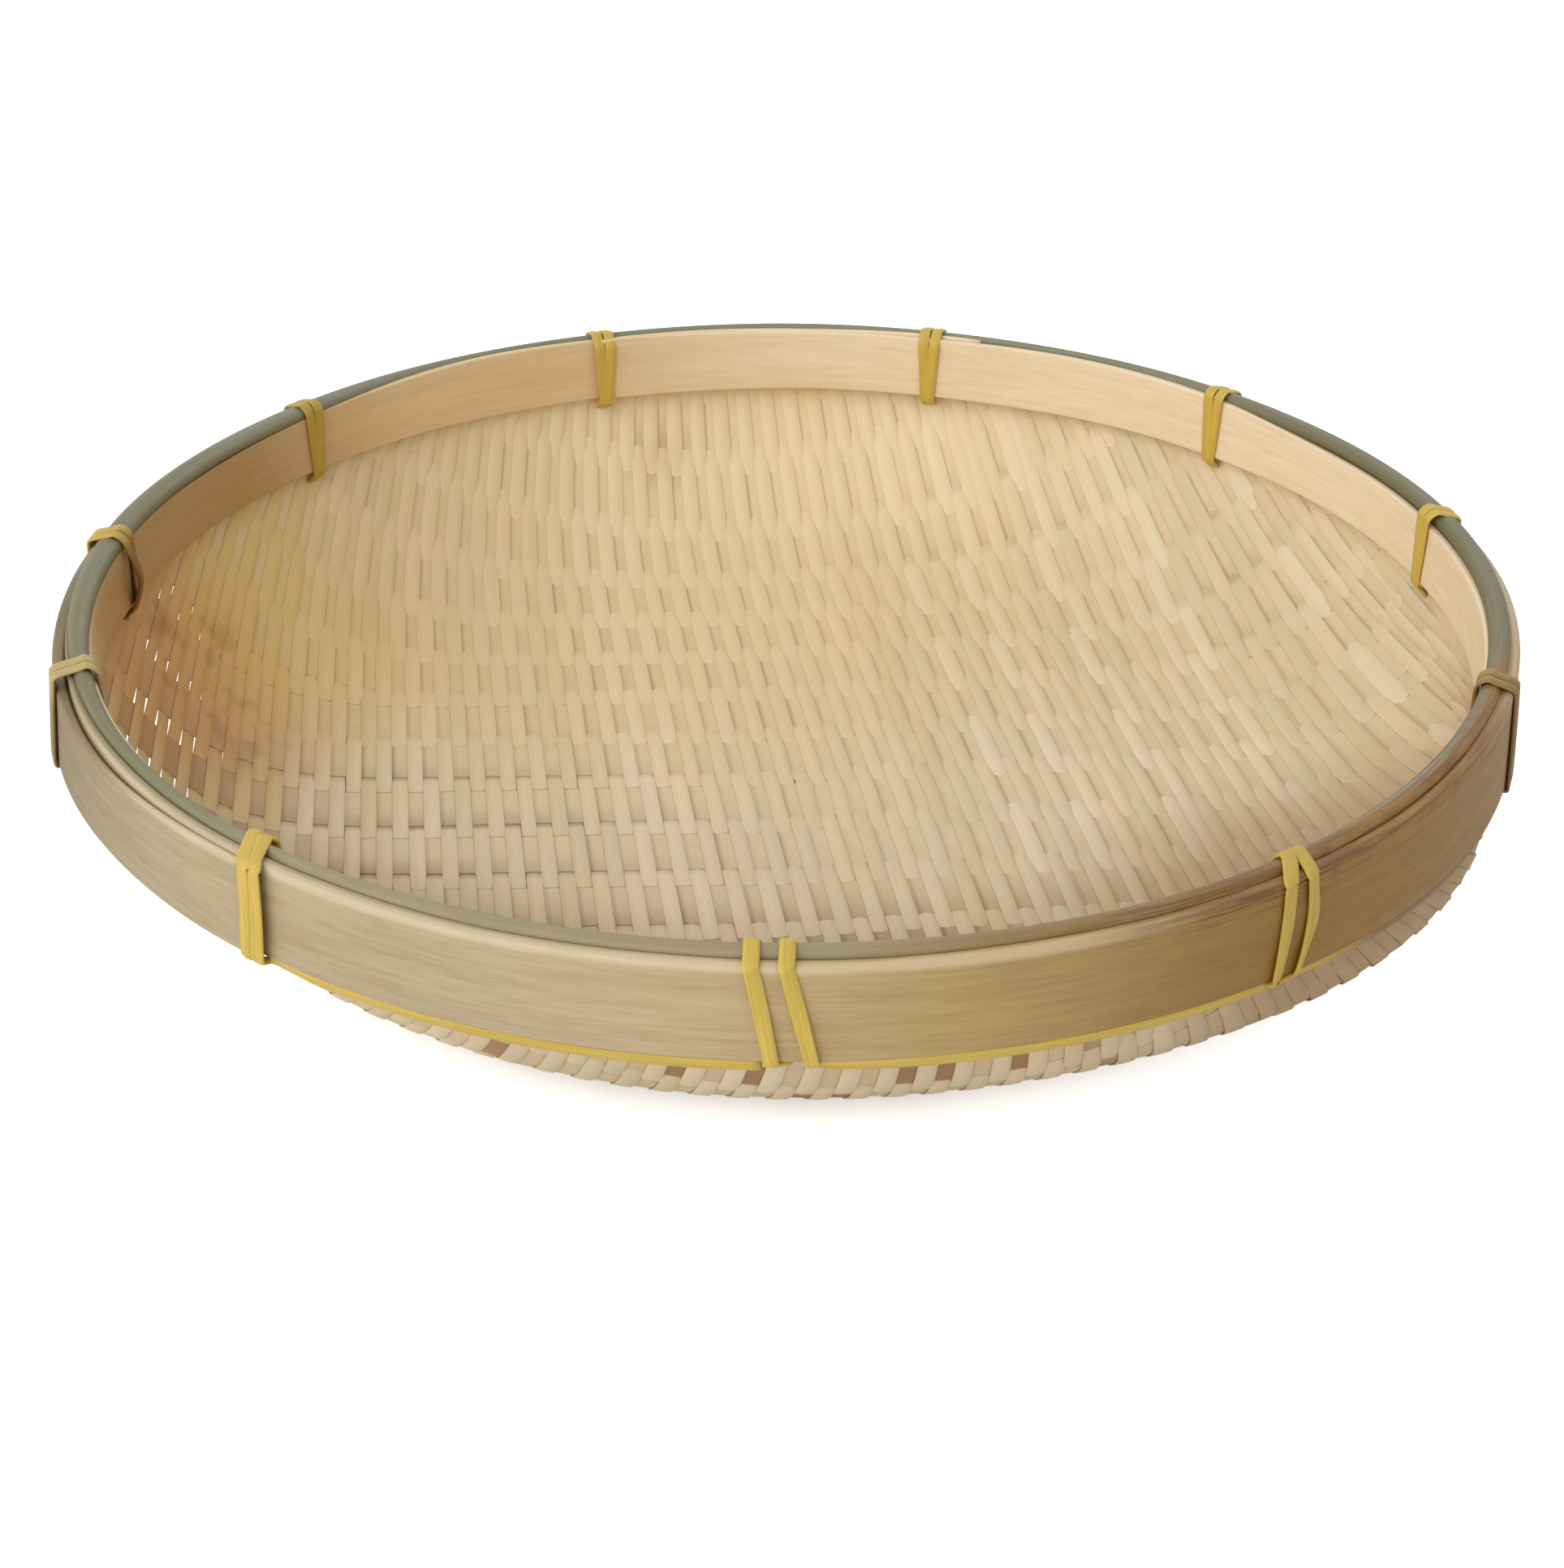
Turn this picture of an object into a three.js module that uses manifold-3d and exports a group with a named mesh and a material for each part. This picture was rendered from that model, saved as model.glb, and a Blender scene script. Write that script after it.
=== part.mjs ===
// A round bamboo bread basket: a dished mat of woven splints, its edge clamped between
// two bent bamboo hoops, with a green skin strip laid over the cut edge of the mat
// and eleven lashings of yellow strip that bind hoops, cap strip and mat together.
// Millimetres and degrees, +Z up. The origin is on the table, under the middle of the bowl.
// Angle 0 points along +X and angles grow anticlockwise seen from above.

import * as THREE from "three";
import { mergeVertices } from "three/addons/utils/BufferGeometryUtils.js";
import Module from "manifold-3d";

// Rim sizes
const outerDiameter = 130; // across the outer hoop, laps left out
const rimHeight = 23; // table to the top edge of the outer hoop
const outerHoopHeight = 8.2;
const outerHoopThickness = 1.2;
const innerHoopHeight = 6;
const innerHoopThickness = 0.8;
const innerHoopDrop = 0.75; // top edge of the inner hoop below that of the outer hoop
const fit = 0.15; // clearance wherever two pieces of the rim lie against each other

// Lap joints: each hoop is one strip whose thinned ends overlap
const tipThickness = 0.35;
const outerLap = { from: 190, to: 233.3 }; // the outer end lies under a lashing
const innerLap = { from: 70, to: 110.4 };
const lapRamp = 25; // stretch in which the overlapping end climbs on to the lower one
const outerLapDip = 1.1; // the lapping end sits lower and shows the edge underneath
const innerLapDip = 0.9;
const dipReach = 0.7; // share of the lap's thinning in which it comes up level again
const hoopEdge = 0.3; // rounding of a hoop's free edges, as a share of its thickness

// Cap strip over the mat's cut edge
const capHeight = 1.1;
const capJoint = 200; // where its two ends meet, under a lashing
const capJointGap = 0.3;

// Woven mat, both layers of splints together
const matThickness = 1;
const matEdgeThickness = 0.55; // squeezed between the hoops
const footRadius = 20; // flat middle that the basket stands on
const wallDepth = 2; // from the inner hoop's bottom edge down to where the wall starts
const wallInset = 0.5; // from the clamped edge inwards to where the wall starts
const wallCurve = 6; // how late the floor turns up into the wall

// Gaps between the splints: a plain grid of slits with the open share of the whole weave
const weaveTurn = 8.5; // degrees from the lengthwise splints to the Y axis
const slitWidth = 0.6; // between two lengthwise splints
const slitLength = 2.9; // between two crosswise splints
const slitPitchAcross = 8.83; // every sixth gap between lengthwise splints
const slitPitchAlong = 8.74; // every gap between crosswise splints
const slitRows = 5.7; // from the middle of the mat out to the farthest slit

// Lashings of flat yellow strip
const stripWidth = 1.2;
const stripThickness = 0.5;
const wrapPitch = 1.65; // between the two wraps of a lashing
const openPitch = 2.2; // of the front lashing, whose wraps stand further apart
const wrapsEach = 2;
const holeClearance = 0.25; // round the strip where it goes through the mat
const stripEndGap = 0.3;
const lashings = [
  { name: "lashing_01", angle: 10.7, pitch: wrapPitch },
  { name: "lashing_02", angle: 43, pitch: wrapPitch },
  { name: "lashing_03", angle: 75.1, pitch: wrapPitch },
  { name: "lashing_04", angle: 109.6, pitch: wrapPitch },
  { name: "lashing_05", angle: 143.4, pitch: wrapPitch },
  { name: "lashing_06", angle: 175.5, pitch: wrapPitch },
  { name: "lashing_07", angle: 200, pitch: wrapPitch },
  { name: "lashing_08", angle: 232.5, pitch: wrapPitch },
  { name: "lashing_09", angle: 269.8, pitch: openPitch },
  { name: "lashing_10", angle: 305, pitch: wrapPitch },
  { name: "lashing_11", angle: 339, pitch: wrapPitch },
];

// Fineness
const angleStep = 5;
const matSegments = 72;
const floorSteps = 9;
const bendSteps = 4;

// Places that follow from the sizes above
const outerRadius = outerDiameter / 2;
const clampOutside = outerRadius - outerHoopThickness;
const matOutside = clampOutside - fit;
const matInside = matOutside - matEdgeThickness;
const clampInside = matInside - fit;
const bowlRadius = clampInside - innerHoopThickness;
const outerBottom = rimHeight - outerHoopHeight;
const innerTop = rimHeight - innerHoopDrop;
const innerBottom = innerTop - innerHoopHeight;
const capBottom = innerTop + fit;
const capTop = capBottom + capHeight;
const lapExtra = tipThickness + fit; // how much a lap stands proud of a single strip

const degrees = THREE.MathUtils.degToRad;
const wasm = await Module();
wasm.setup();

// Materials
const wovenSplint = new THREE.MeshStandardMaterial({ color: 0xdac49b, roughness: 0.7 });
const outerBamboo = new THREE.MeshStandardMaterial({ color: 0xbfa678, roughness: 0.55 });
const innerBamboo = new THREE.MeshStandardMaterial({ color: 0xd7b991, roughness: 0.6 });
const greenSkin = new THREE.MeshStandardMaterial({ color: 0x82806a, roughness: 0.45 });
const yellowStrip = new THREE.MeshStandardMaterial({ color: 0xccb050, roughness: 0.4 });

// A point at an angle round the basket, a radius from its axis and a height.
function around(angle, radius, height) {
  const turn = degrees(angle);
  return new THREE.Vector3(radius * Math.cos(turn), radius * Math.sin(turn), height);
}

// Volume inside a closed triangle mesh, negative when its faces point inwards.
function signedVolume(points, triangles) {
  let sum = 0;
  for (let i = 0; i < triangles.length; i += 3) {
    const [a, b, c] = [0, 1, 2].map((k) => points[triangles[i + k]]);
    sum += a.dot(new THREE.Vector3().crossVectors(b, c)) / 6;
  }
  return sum;
}

// A closed solid through a row of rings that all have the same number of corners.
function skinned(rings) {
  const corners = rings[0].length;
  const points = rings.flat();
  const triangles = [];
  for (let i = 0; i + 1 < rings.length; i++) {
    for (let k = 0; k < corners; k++) {
      const next = (k + 1) % corners;
      const [a, b] = [i * corners + k, i * corners + next];
      triangles.push(a, b, b + corners, a, b + corners, a + corners);
    }
  }
  const last = (rings.length - 1) * corners;
  for (let k = 1; k + 1 < corners; k++) {
    triangles.push(0, k + 1, k, last, last + k, last + k + 1);
  }
  if (signedVolume(points, triangles) < 0) triangles.reverse();
  const geometry = new THREE.BufferGeometry().setFromPoints(points);
  geometry.setIndex(triangles);
  geometry.computeVertexNormals();
  return geometry;
}

function named(name, geometry, material) {
  const mesh = new THREE.Mesh(geometry, material);
  mesh.name = name;
  return mesh;
}

// Hoops

// How far a hoop's free face stands proud at an angle because of its lap.
function lapProud(lap, angle) {
  const before = THREE.MathUtils.euclideanModulo(lap.from - angle, 360);
  const inside = THREE.MathUtils.euclideanModulo(angle - lap.from, 360);
  if (inside <= lap.to - lap.from) return lapExtra;
  return lapExtra * THREE.MathUtils.smoothstep(lapRamp - before, 0, lapRamp);
}

// Thickness of a strip's first end at an angle: thin at its tip, full after the lap.
function firstEnd(lap, thickness, angle) {
  const share = THREE.MathUtils.clamp((angle - lap.from) / (lap.to - lap.from), 0, 1);
  return THREE.MathUtils.lerp(tipThickness, thickness, share);
}

// One bent strip whose ends overlap. It starts thin against the mat, runs once round,
// climbs over its own start and thins out again. side is 1 outwards and -1 inwards.
function hoop({ lap, side, clamp, thickness, top, bottom, dip }) {
  const rings = [];
  const length = 360 + lap.to - lap.from;
  const steps = Math.round(length / angleStep);
  for (let i = 0; i <= steps; i++) {
    const angle = lap.from + (length * i) / steps;
    const below = firstEnd(lap, thickness, angle - 360);
    let thick = firstEnd(lap, thickness, angle);
    let lift = 0;
    let lowered = 0;
    if (angle >= lap.from + 360) {
      thick = thickness + tipThickness - below;
      lift = below + fit;
      const shown = (thickness - below) / (thickness - tipThickness);
      lowered = dip * THREE.MathUtils.smoothstep(shown, 0, dipReach);
    } else if (angle > lap.to) {
      lift = lapProud(lap, angle);
      lowered = (dip * lift) / lapExtra;
    }
    const near = clamp + side * lift;
    const far = near + side * thick;
    const edge = side * hoopEdge * thick;
    rings.push([
      around(angle, near, bottom),
      around(angle, far - edge, bottom),
      around(angle, far, bottom + Math.abs(edge)),
      around(angle, far, top - lowered - Math.abs(edge)),
      around(angle, far - edge, top - lowered),
      around(angle, near, top - lowered),
    ]);
  }
  return skinned(rings);
}

const outerHoop = hoop({
  lap: outerLap,
  side: 1,
  clamp: clampOutside,
  thickness: outerHoopThickness,
  top: rimHeight,
  bottom: outerBottom,
  dip: outerLapDip,
});

const innerHoop = hoop({
  lap: innerLap,
  side: -1,
  clamp: clampInside,
  thickness: innerHoopThickness,
  top: innerTop,
  bottom: innerBottom,
  dip: innerLapDip,
});

// Cap strip: half round, seated on the mat's cut edge and the inner hoop. Its crown is
// an ellipse that springs from its two short sides.
function capStripShape() {
  const rise = 0.6 * capHeight;
  return {
    middle: (bowlRadius + matOutside) / 2,
    half: (matOutside - bowlRadius) / 2,
    rise,
    spring: capTop - rise,
  };
}

function capStrip() {
  const { middle, half, rise, spring } = capStripShape();
  const section = [0, 30, 70, 110, 150, 180].map((turn) => [
    middle + half * Math.cos(degrees(turn)),
    spring + rise * Math.sin(degrees(turn)),
  ]);
  section.push([bowlRadius, capBottom], [matOutside, capBottom]);
  const halfGap = THREE.MathUtils.radToDeg(capJointGap / 2 / middle);
  const steps = 360 / angleStep;
  const rings = [];
  for (let i = 0; i <= steps; i++) {
    const angle = THREE.MathUtils.lerp(capJoint + halfGap, capJoint + 360 - halfGap, i / steps);
    rings.push(section.map(([radius, height]) => around(angle, radius, height)));
  }
  return skinned(rings);
}

// Woven mat: a flat foot, a floor that turns up into the wall, a bend under the inner
// hoop and a straight clamped edge. The outside of the sheet is drawn first, and the
// inside follows it at the sheet's thickness.
function matOutline() {
  const wallRadius = matOutside - wallInset;
  const wallHeight = innerBottom - wallDepth;
  const reach = wallRadius - footRadius;
  const slope = (wallCurve * wallHeight) / reach;
  const outside = [new THREE.Vector2(0, 0), new THREE.Vector2(footRadius, 0)];
  for (let i = 1; i <= floorSteps; i++) {
    const share = Math.pow(i / floorSteps, 0.6);
    const height = wallHeight * Math.pow(share, wallCurve);
    outside.push(new THREE.Vector2(footRadius + reach * share, height));
  }
  const bend = new THREE.QuadraticBezierCurve(
    new THREE.Vector2(wallRadius, wallHeight),
    new THREE.Vector2(matOutside, wallHeight + wallInset * slope),
    new THREE.Vector2(matOutside, innerBottom + wallInset / 2),
  );
  outside.push(...bend.getPoints(bendSteps).slice(1));
  outside.push(new THREE.Vector2(matOutside, innerTop));

  const inside = outside.slice(2).map((point, i) => {
    const [before, after] = [outside[i + 1], outside[i + 3] ?? point];
    const along = new THREE.Vector2().subVectors(after, before).normalize();
    const steep = Math.min(1, Math.max(0, along.y));
    const thick = THREE.MathUtils.lerp(matThickness, matEdgeThickness, steep ** 2);
    return new THREE.Vector2(point.x - along.y * thick, point.y + along.x * thick);
  });
  inside.unshift(new THREE.Vector2(0, matThickness), new THREE.Vector2(footRadius, matThickness));
  return [...outside, ...inside.reverse()];
}

// Lashings

// Section of the strip, flat with thin edges, across its width and its thickness.
function stripSection(half, thin) {
  const shoulder = 0.75 * half;
  return [
    [half, 0],
    [shoulder, thin],
    [-shoulder, thin],
    [-half, 0],
    [-shoulder, -thin],
    [shoulder, -thin],
  ];
}

// Middle line of one wrap in the plane of the rim, with the share of the wrap done at
// each point: in under the outer hoop, through the mat, up the inner face, round the cap
// strip and down the outside. The points from throughMat.from to throughMat.to lie in
// and beside the mat.
const throughMat = { from: 1, to: 5 };

function wrapPoints(angle) {
  const clear = stripThickness / 2 + fit;
  const outside = outerRadius + lapProud(outerLap, angle) + clear;
  const inside = bowlRadius - lapProud(innerLap, angle) - clear;
  const under = outerBottom - clear;
  const underTurn = clampOutside - fit;
  const insideTurn = innerBottom - fit;
  const points = [
    { radius: outerRadius - outerHoopThickness / 2, height: under, share: 0 },
    { radius: underTurn, height: under, share: 0.03 },
    { radius: underTurn - clear, height: under + clear / 2, share: 0.05 },
    { radius: inside + clear, height: insideTurn - 1.4 * clear, share: 0.15 },
    { radius: inside, height: insideTurn, share: 0.2 },
    { radius: inside, height: capBottom + clear, share: 0.5 },
  ];
  const crown = capStripShape();
  for (const [turn, share] of [[150, 0.53], [105, 0.555], [60, 0.58]]) {
    points.push({
      radius: crown.middle + (crown.half + 1.2 * clear) * Math.cos(degrees(turn)),
      height: crown.spring + (crown.rise + 1.2 * clear) * Math.sin(degrees(turn)),
      share,
    });
  }
  const shoulder = 1.4 * clear;
  points.push(
    { radius: outside - shoulder, height: rimHeight + 1.2 * clear, share: 0.62 },
    { radius: outside, height: rimHeight - clear / 4, share: 0.64 },
    { radius: outside, height: under + 1.3 * clear, share: 0.95 },
    { radius: outside - 1.3 * clear, height: under, share: 0.98 },
  );
  return points;
}

// Angle at which a lashing's strip begins, half its wraps before its middle.
function startAngle({ angle, pitch }) {
  return angle - THREE.MathUtils.radToDeg(((wrapsEach / 2) * pitch) / bowlRadius);
}

// Middle line of a lashing's wraps, then of its run along the outer hoop's lower edge.
function lashingRoute(lashing, next) {
  const { angle, pitch } = lashing;
  const pitchAngle = THREE.MathUtils.radToDeg(pitch / bowlRadius);
  const start = startAngle(lashing);
  const oneWrap = wrapPoints(angle);
  const wraps = [];
  for (let wrap = 0; wrap < wrapsEach; wrap++) {
    for (const { radius, height, share } of oneWrap) {
      wraps.push(around(start + (wrap + share) * pitchAngle, radius, height));
    }
  }
  const { radius, height } = oneWrap[0];
  const runStart = start + wrapsEach * pitchAngle;
  const turnIn = THREE.MathUtils.radToDeg(stripWidth / radius);
  const halfStrip = THREE.MathUtils.radToDeg((stripWidth / 2 + stripEndGap) / radius);
  const runEnd = startAngle(next) + (next.angle < angle ? 360 : 0) - halfStrip;
  const run = [around(runStart + turnIn / 3, radius + stripWidth / 5, height)];
  const steps = Math.round((runEnd - runStart) / angleStep);
  for (let i = 0; i <= steps; i++) {
    const turn = THREE.MathUtils.lerp(runStart + turnIn, runEnd, i / steps);
    run.push(around(turn, radius, height));
  }
  return { wraps, run };
}

// Middle line of the opening that a lashing's wraps share in the mat.
function holeRoute({ angle, pitch }) {
  const pitchAngle = THREE.MathUtils.radToDeg(pitch / bowlRadius);
  const { from, to } = throughMat;
  return wrapPoints(angle)
    .slice(from, to)
    .map(({ radius, height, share }) =>
      around(angle + (share - 0.5) * pitchAngle, radius, height),
    );
}

// A strip carried along a route, flat against the rim all the way round it. From
// runFrom on it lies flat under the outer hoop.
function stripRings(route, runFrom, section) {
  const middle = new THREE.Vector2((matOutside + matInside) / 2, (innerTop + innerBottom) / 2);
  return route.map((point, i) => {
    const ahead = route[Math.min(i + 1, route.length - 1)];
    const behind = route[Math.max(i - 1, 0)];
    const along = new THREE.Vector3().subVectors(ahead, behind).normalize();
    const radius = Math.hypot(point.x, point.y);
    const away = new THREE.Vector3(point.x, point.y, 0).multiplyScalar(1 - middle.x / radius);
    away.z = point.z - middle.y;
    if (i >= runFrom) away.set(0, 0, -1);
    away.addScaledVector(along, -away.dot(along)).normalize();
    const across = new THREE.Vector3().crossVectors(along, away);
    return section.map(([width, thick]) =>
      point.clone().addScaledVector(across, width).addScaledVector(away, thick),
    );
  });
}

// Least distance between points of a route's rings that aren't next to each other.
function leastGap(rings, apart) {
  let least = Infinity;
  rings.forEach((ring, i) => {
    for (const other of rings.slice(i + apart)) {
      for (const a of ring) for (const b of other) least = Math.min(least, a.distanceTo(b));
    }
  });
  return least;
}

// Solids for cutting

function solidOf(geometry) {
  const bare = new THREE.BufferGeometry();
  bare.setAttribute("position", geometry.getAttribute("position"));
  bare.setIndex(geometry.getIndex());
  const merged = mergeVertices(bare, 1e-4);
  return new wasm.Manifold(
    new wasm.Mesh({
      numProp: 3,
      vertProperties: new Float32Array(merged.getAttribute("position").array),
      triVerts: new Uint32Array(merged.getIndex().array),
    }),
  );
}

function geometryOf(solid) {
  const { vertProperties, triVerts } = solid.getMesh();
  const geometry = new THREE.BufferGeometry();
  geometry.setAttribute("position", new THREE.BufferAttribute(vertProperties, 3));
  geometry.setIndex(new THREE.BufferAttribute(triVerts, 1));
  geometry.computeVertexNormals();
  return geometry;
}

// Assembly

const basket = new THREE.Group();
basket.add(named("outer_hoop", outerHoop, outerBamboo));
basket.add(named("inner_hoop", innerHoop, innerBamboo));
basket.add(named("rim_cap_strip", capStrip(), greenSkin));

const outline = matOutline();
const turned = new THREE.LatheGeometry(outline, matSegments);
turned.rotateX(Math.PI / 2);
let mat = solidOf(turned);

const strip = stripSection(stripWidth / 2, stripThickness / 2);
const neighbours = 5; // rings along a strip too close together to count as a gap
let closest = Infinity;
lashings.forEach((lashing, i) => {
  const { wraps, run } = lashingRoute(lashing, lashings[(i + 1) % lashings.length]);
  const rings = stripRings([...wraps, ...run], wraps.length, strip);
  basket.add(named(lashing.name, skinned(rings), yellowStrip));
  closest = Math.min(closest, leastGap(rings, neighbours));
  const holeWidth = (wrapsEach - 1) * lashing.pitch + stripWidth + 2 * holeClearance;
  const hole = stripSection(holeWidth / 2, stripThickness / 2 + holeClearance);
  const route = holeRoute(lashing);
  mat = mat.subtract(solidOf(skinned(stripRings(route, route.length, hole))));
});
const slitDepth = 2 * innerBottom; // from under the foot to over the inner hoop's edge
const slit = wasm.Manifold.cube([slitWidth, slitLength, slitDepth], true);
const lastRow = Math.floor(slitRows);
for (let i = -lastRow; i <= lastRow; i++) {
  for (let j = -lastRow; j <= lastRow; j++) {
    if (Math.hypot(i, j) > slitRows) continue;
    const place = [i * slitPitchAcross, j * slitPitchAlong, 0];
    mat = mat.subtract(slit.translate(place).rotate([0, 0, weaveTurn]));
  }
}
basket.add(named("woven_mat", geometryOf(mat), wovenSplint));
console.log(`least gap between the wraps of a lashing: ${closest.toFixed(2)} mm`);

export default basket;
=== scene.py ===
import math

import bpy
import numpy as np
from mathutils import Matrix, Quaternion, Vector


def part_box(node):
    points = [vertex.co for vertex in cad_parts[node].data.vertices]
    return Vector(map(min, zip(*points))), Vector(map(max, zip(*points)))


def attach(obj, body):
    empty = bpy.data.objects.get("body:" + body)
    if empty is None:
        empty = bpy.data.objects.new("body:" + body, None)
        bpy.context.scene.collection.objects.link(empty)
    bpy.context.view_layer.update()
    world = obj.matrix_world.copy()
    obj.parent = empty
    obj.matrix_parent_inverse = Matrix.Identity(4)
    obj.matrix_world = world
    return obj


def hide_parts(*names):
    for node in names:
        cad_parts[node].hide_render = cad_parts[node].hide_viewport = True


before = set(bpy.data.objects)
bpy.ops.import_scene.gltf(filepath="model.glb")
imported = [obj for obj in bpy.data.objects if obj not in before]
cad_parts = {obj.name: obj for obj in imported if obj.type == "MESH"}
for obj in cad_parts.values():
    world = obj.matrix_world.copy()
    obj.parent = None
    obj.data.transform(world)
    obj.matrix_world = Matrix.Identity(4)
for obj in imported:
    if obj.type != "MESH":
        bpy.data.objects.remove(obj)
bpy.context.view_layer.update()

mm = 0.001

# camera, floor and light
camera = {
    "place": (0.0, -0.20298, 0.118084),
    "aim": (-0.00043, -0.01517, 0.0085),
    "roll": 0.332,  # degrees
    "lens": 56.05,
    "sensor": 36.0,
    "near": 0.01,  # where the camera starts to see
}
studio = {
    "floorSize": 4.0,
    "floorColour": (0.93, 0.93, 0.925, 1),
    "world": 0.52,
    "key": {"place": (-0.52, -0.42, 0.42), "size": 1.1, "power": 5.2, "colour": (1.0, 0.985, 0.96)},
    "fill": {"place": (0.35, -0.55, 0.45), "size": 0.8, "power": 0.5, "colour": (1.0, 0.97, 0.92)},
    "back": {"place": (0.15, 0.65, 0.55), "size": 0.7, "power": 1.0, "colour": (1.0, 0.98, 0.95)},
    "floorGlow": 0.8,  # extra white that only the camera sees
}


# turns a camera or lamp so that it looks from its place at the aim, rolled by some degrees
def aimAt(thing, place, aim, roll=0.0):
    thing.location = place
    look = (Vector(aim) - Vector(place)).to_track_quat("-Z", "Y")
    thing.rotation_mode = "QUATERNION"
    thing.rotation_quaternion = look @ Quaternion((0, 0, 1), math.radians(roll))


def addCamera():
    data = bpy.data.cameras.new("camera")
    data.lens = camera["lens"]
    data.sensor_width = camera["sensor"]
    data.sensor_fit = "HORIZONTAL"
    data.clip_start = camera["near"]
    thing = bpy.data.objects.new("camera", data)
    bpy.context.scene.collection.objects.link(thing)
    aimAt(thing, camera["place"], camera["aim"], camera["roll"])
    bpy.context.scene.camera = thing


def addLights():
    for name in ("key", "fill", "back"):
        lamp = studio[name]
        data = bpy.data.lights.new(name, "AREA")
        data.size = lamp["size"]
        data.energy = lamp["power"]
        data.color = lamp["colour"]
        thing = bpy.data.objects.new(name, data)
        bpy.context.scene.collection.objects.link(thing)
        aimAt(thing, lamp["place"], (0, 0, 0))


addCamera()
addLights()
bpy.context.scene.view_settings.view_transform = "Standard"
print("camera and lights placed")


# shader helpers
def feed(tree, node, inputs):  # links the inputs whose value is a socket and sets the others
    for key, value in inputs.items():
        if isinstance(value, bpy.types.NodeSocket):
            tree.links.new(value, node.inputs[key])
        else:
            node.inputs[key].default_value = value


def addNode(tree, kind, inputs=None, **settings):
    node = tree.nodes.new(kind)
    for key, value in settings.items():
        setattr(node, key, value)
    feed(tree, node, inputs or {})
    return node


def newGroup(name, inputs, outputs):  # an input is a vector where its value is a tuple
    group = bpy.data.node_groups.new(name, "ShaderNodeTree")
    for label, value in inputs.items():
        kind = "NodeSocketVector" if isinstance(value, tuple) else "NodeSocketFloat"
        group.interface.new_socket(label, in_out="INPUT", socket_type=kind).default_value = value
    for label in outputs:
        group.interface.new_socket(label, in_out="OUTPUT", socket_type="NodeSocketFloat")
    return group, group.nodes.new("NodeGroupInput").outputs, group.nodes.new("NodeGroupOutput").inputs


def useGroup(tree, group, inputs):
    node = tree.nodes.new("ShaderNodeGroup")
    node.node_tree = group
    feed(tree, node, inputs)
    return node.outputs


def newMaterial(name):
    material = bpy.data.materials.new(name)
    material.use_nodes = True
    tree = material.node_tree
    return material, tree, tree.nodes["Principled BSDF"]


def mixColour(tree, factor, a, b, blend="MIX"):
    node = addNode(tree, "ShaderNodeMix", {0: factor, 6: a, 7: b}, data_type="RGBA", blend_type=blend)
    return node.outputs[2]


def combine(tree, operation, a, b, clamp=False):
    return addNode(tree, "ShaderNodeMath", {0: a, 1: b}, operation=operation, use_clamp=clamp).outputs[0]


def product(tree, *values):
    result = values[0]
    for value in values[1:]:
        result = combine(tree, "MULTIPLY", result, value)
    return result


def softStep(tree, value, low, high):  # 0 at low, 1 at high, smooth between
    inputs = {"Value": value, "From Min": low, "From Max": high}
    return addNode(tree, "ShaderNodeMapRange", inputs, interpolation_type="SMOOTHSTEP").outputs[0]


def noise(tree, place, scale, detail, roughness=0.5):
    inputs = {"Vector": place, "Scale": scale, "Detail": detail, "Roughness": roughness}
    return addNode(tree, "ShaderNodeTexNoise", inputs).outputs[0]


def placeInMm(tree):  # place in the basket's own space
    place = addNode(tree, "ShaderNodeTexCoord").outputs["Object"]
    perMetre = (1 / mm, 1 / mm, 1 / mm)
    return addNode(tree, "ShaderNodeVectorMath", {0: place, 1: perMetre}, operation="MULTIPLY").outputs[0]


def colour(red, green, blue):  # screen values 0 to 255 to linear light
    parts = [c / 255 for c in (red, green, blue)]
    return tuple(c / 12.92 if c < 0.04045 else ((c + 0.055) / 1.055) ** 2.4 for c in parts) + (1.0,)


# fibres that run along a strip: noise stretched along the strip's own length
def makeFibres():
    inputs = {"Across": 3.0, "Along": 0.1, "Contrast": 1.0}
    group, given, out = newGroup("fibres", inputs, ["Streaks", "Height"])
    flat = addNode(group, "ShaderNodeUVMap", uv_map="strip").outputs[0]
    scale = addNode(group, "ShaderNodeCombineXYZ", {0: given["Along"], 1: given["Across"]}).outputs[0]
    place = addNode(group, "ShaderNodeVectorMath", {0: flat, 1: scale}, operation="MULTIPLY").outputs[0]
    coarse = noise(group, place, 1.0, 5.0, 0.62)
    fine = noise(group, place, 4.3, 3.0, 0.6)
    both = combine(group, "ADD", coarse, fine)
    strong = product(group, combine(group, "ADD", both, -1.0), given["Contrast"])
    group.links.new(combine(group, "ADD", strong, 0.5, clamp=True), out["Streaks"])
    group.links.new(both, out["Height"])
    return group


# soft stains in the basket's own space, between 0 and 1; their size is in millimetres
def makeStains():
    group, given, out = newGroup("stains", {"Size": 12.0, "From": 0.45, "To": 0.7}, ["Mask"])
    place = addNode(group, "ShaderNodeTexCoord").outputs["Object"]
    cloud = noise(group, place, combine(group, "DIVIDE", 1 / mm, given["Size"]), 3.0)
    group.links.new(softStep(group, cloud, given["From"], given["To"]), out["Mask"])
    return group


# a zone of the basket: 1 inside a ball round a place, 0 outside it, soft between
def makeZone():
    inputs = {"Place": (0, 0, 0), "Inner": 10.0, "Outer": 20.0}
    group, given, out = newGroup("zone", inputs, ["Mask"])
    ends = {0: placeInMm(group), 1: given["Place"]}
    far = addNode(group, "ShaderNodeVectorMath", ends, operation="DISTANCE").outputs["Value"]
    group.links.new(softStep(group, far, given["Outer"], given["Inner"]), out["Mask"])
    return group


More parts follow.
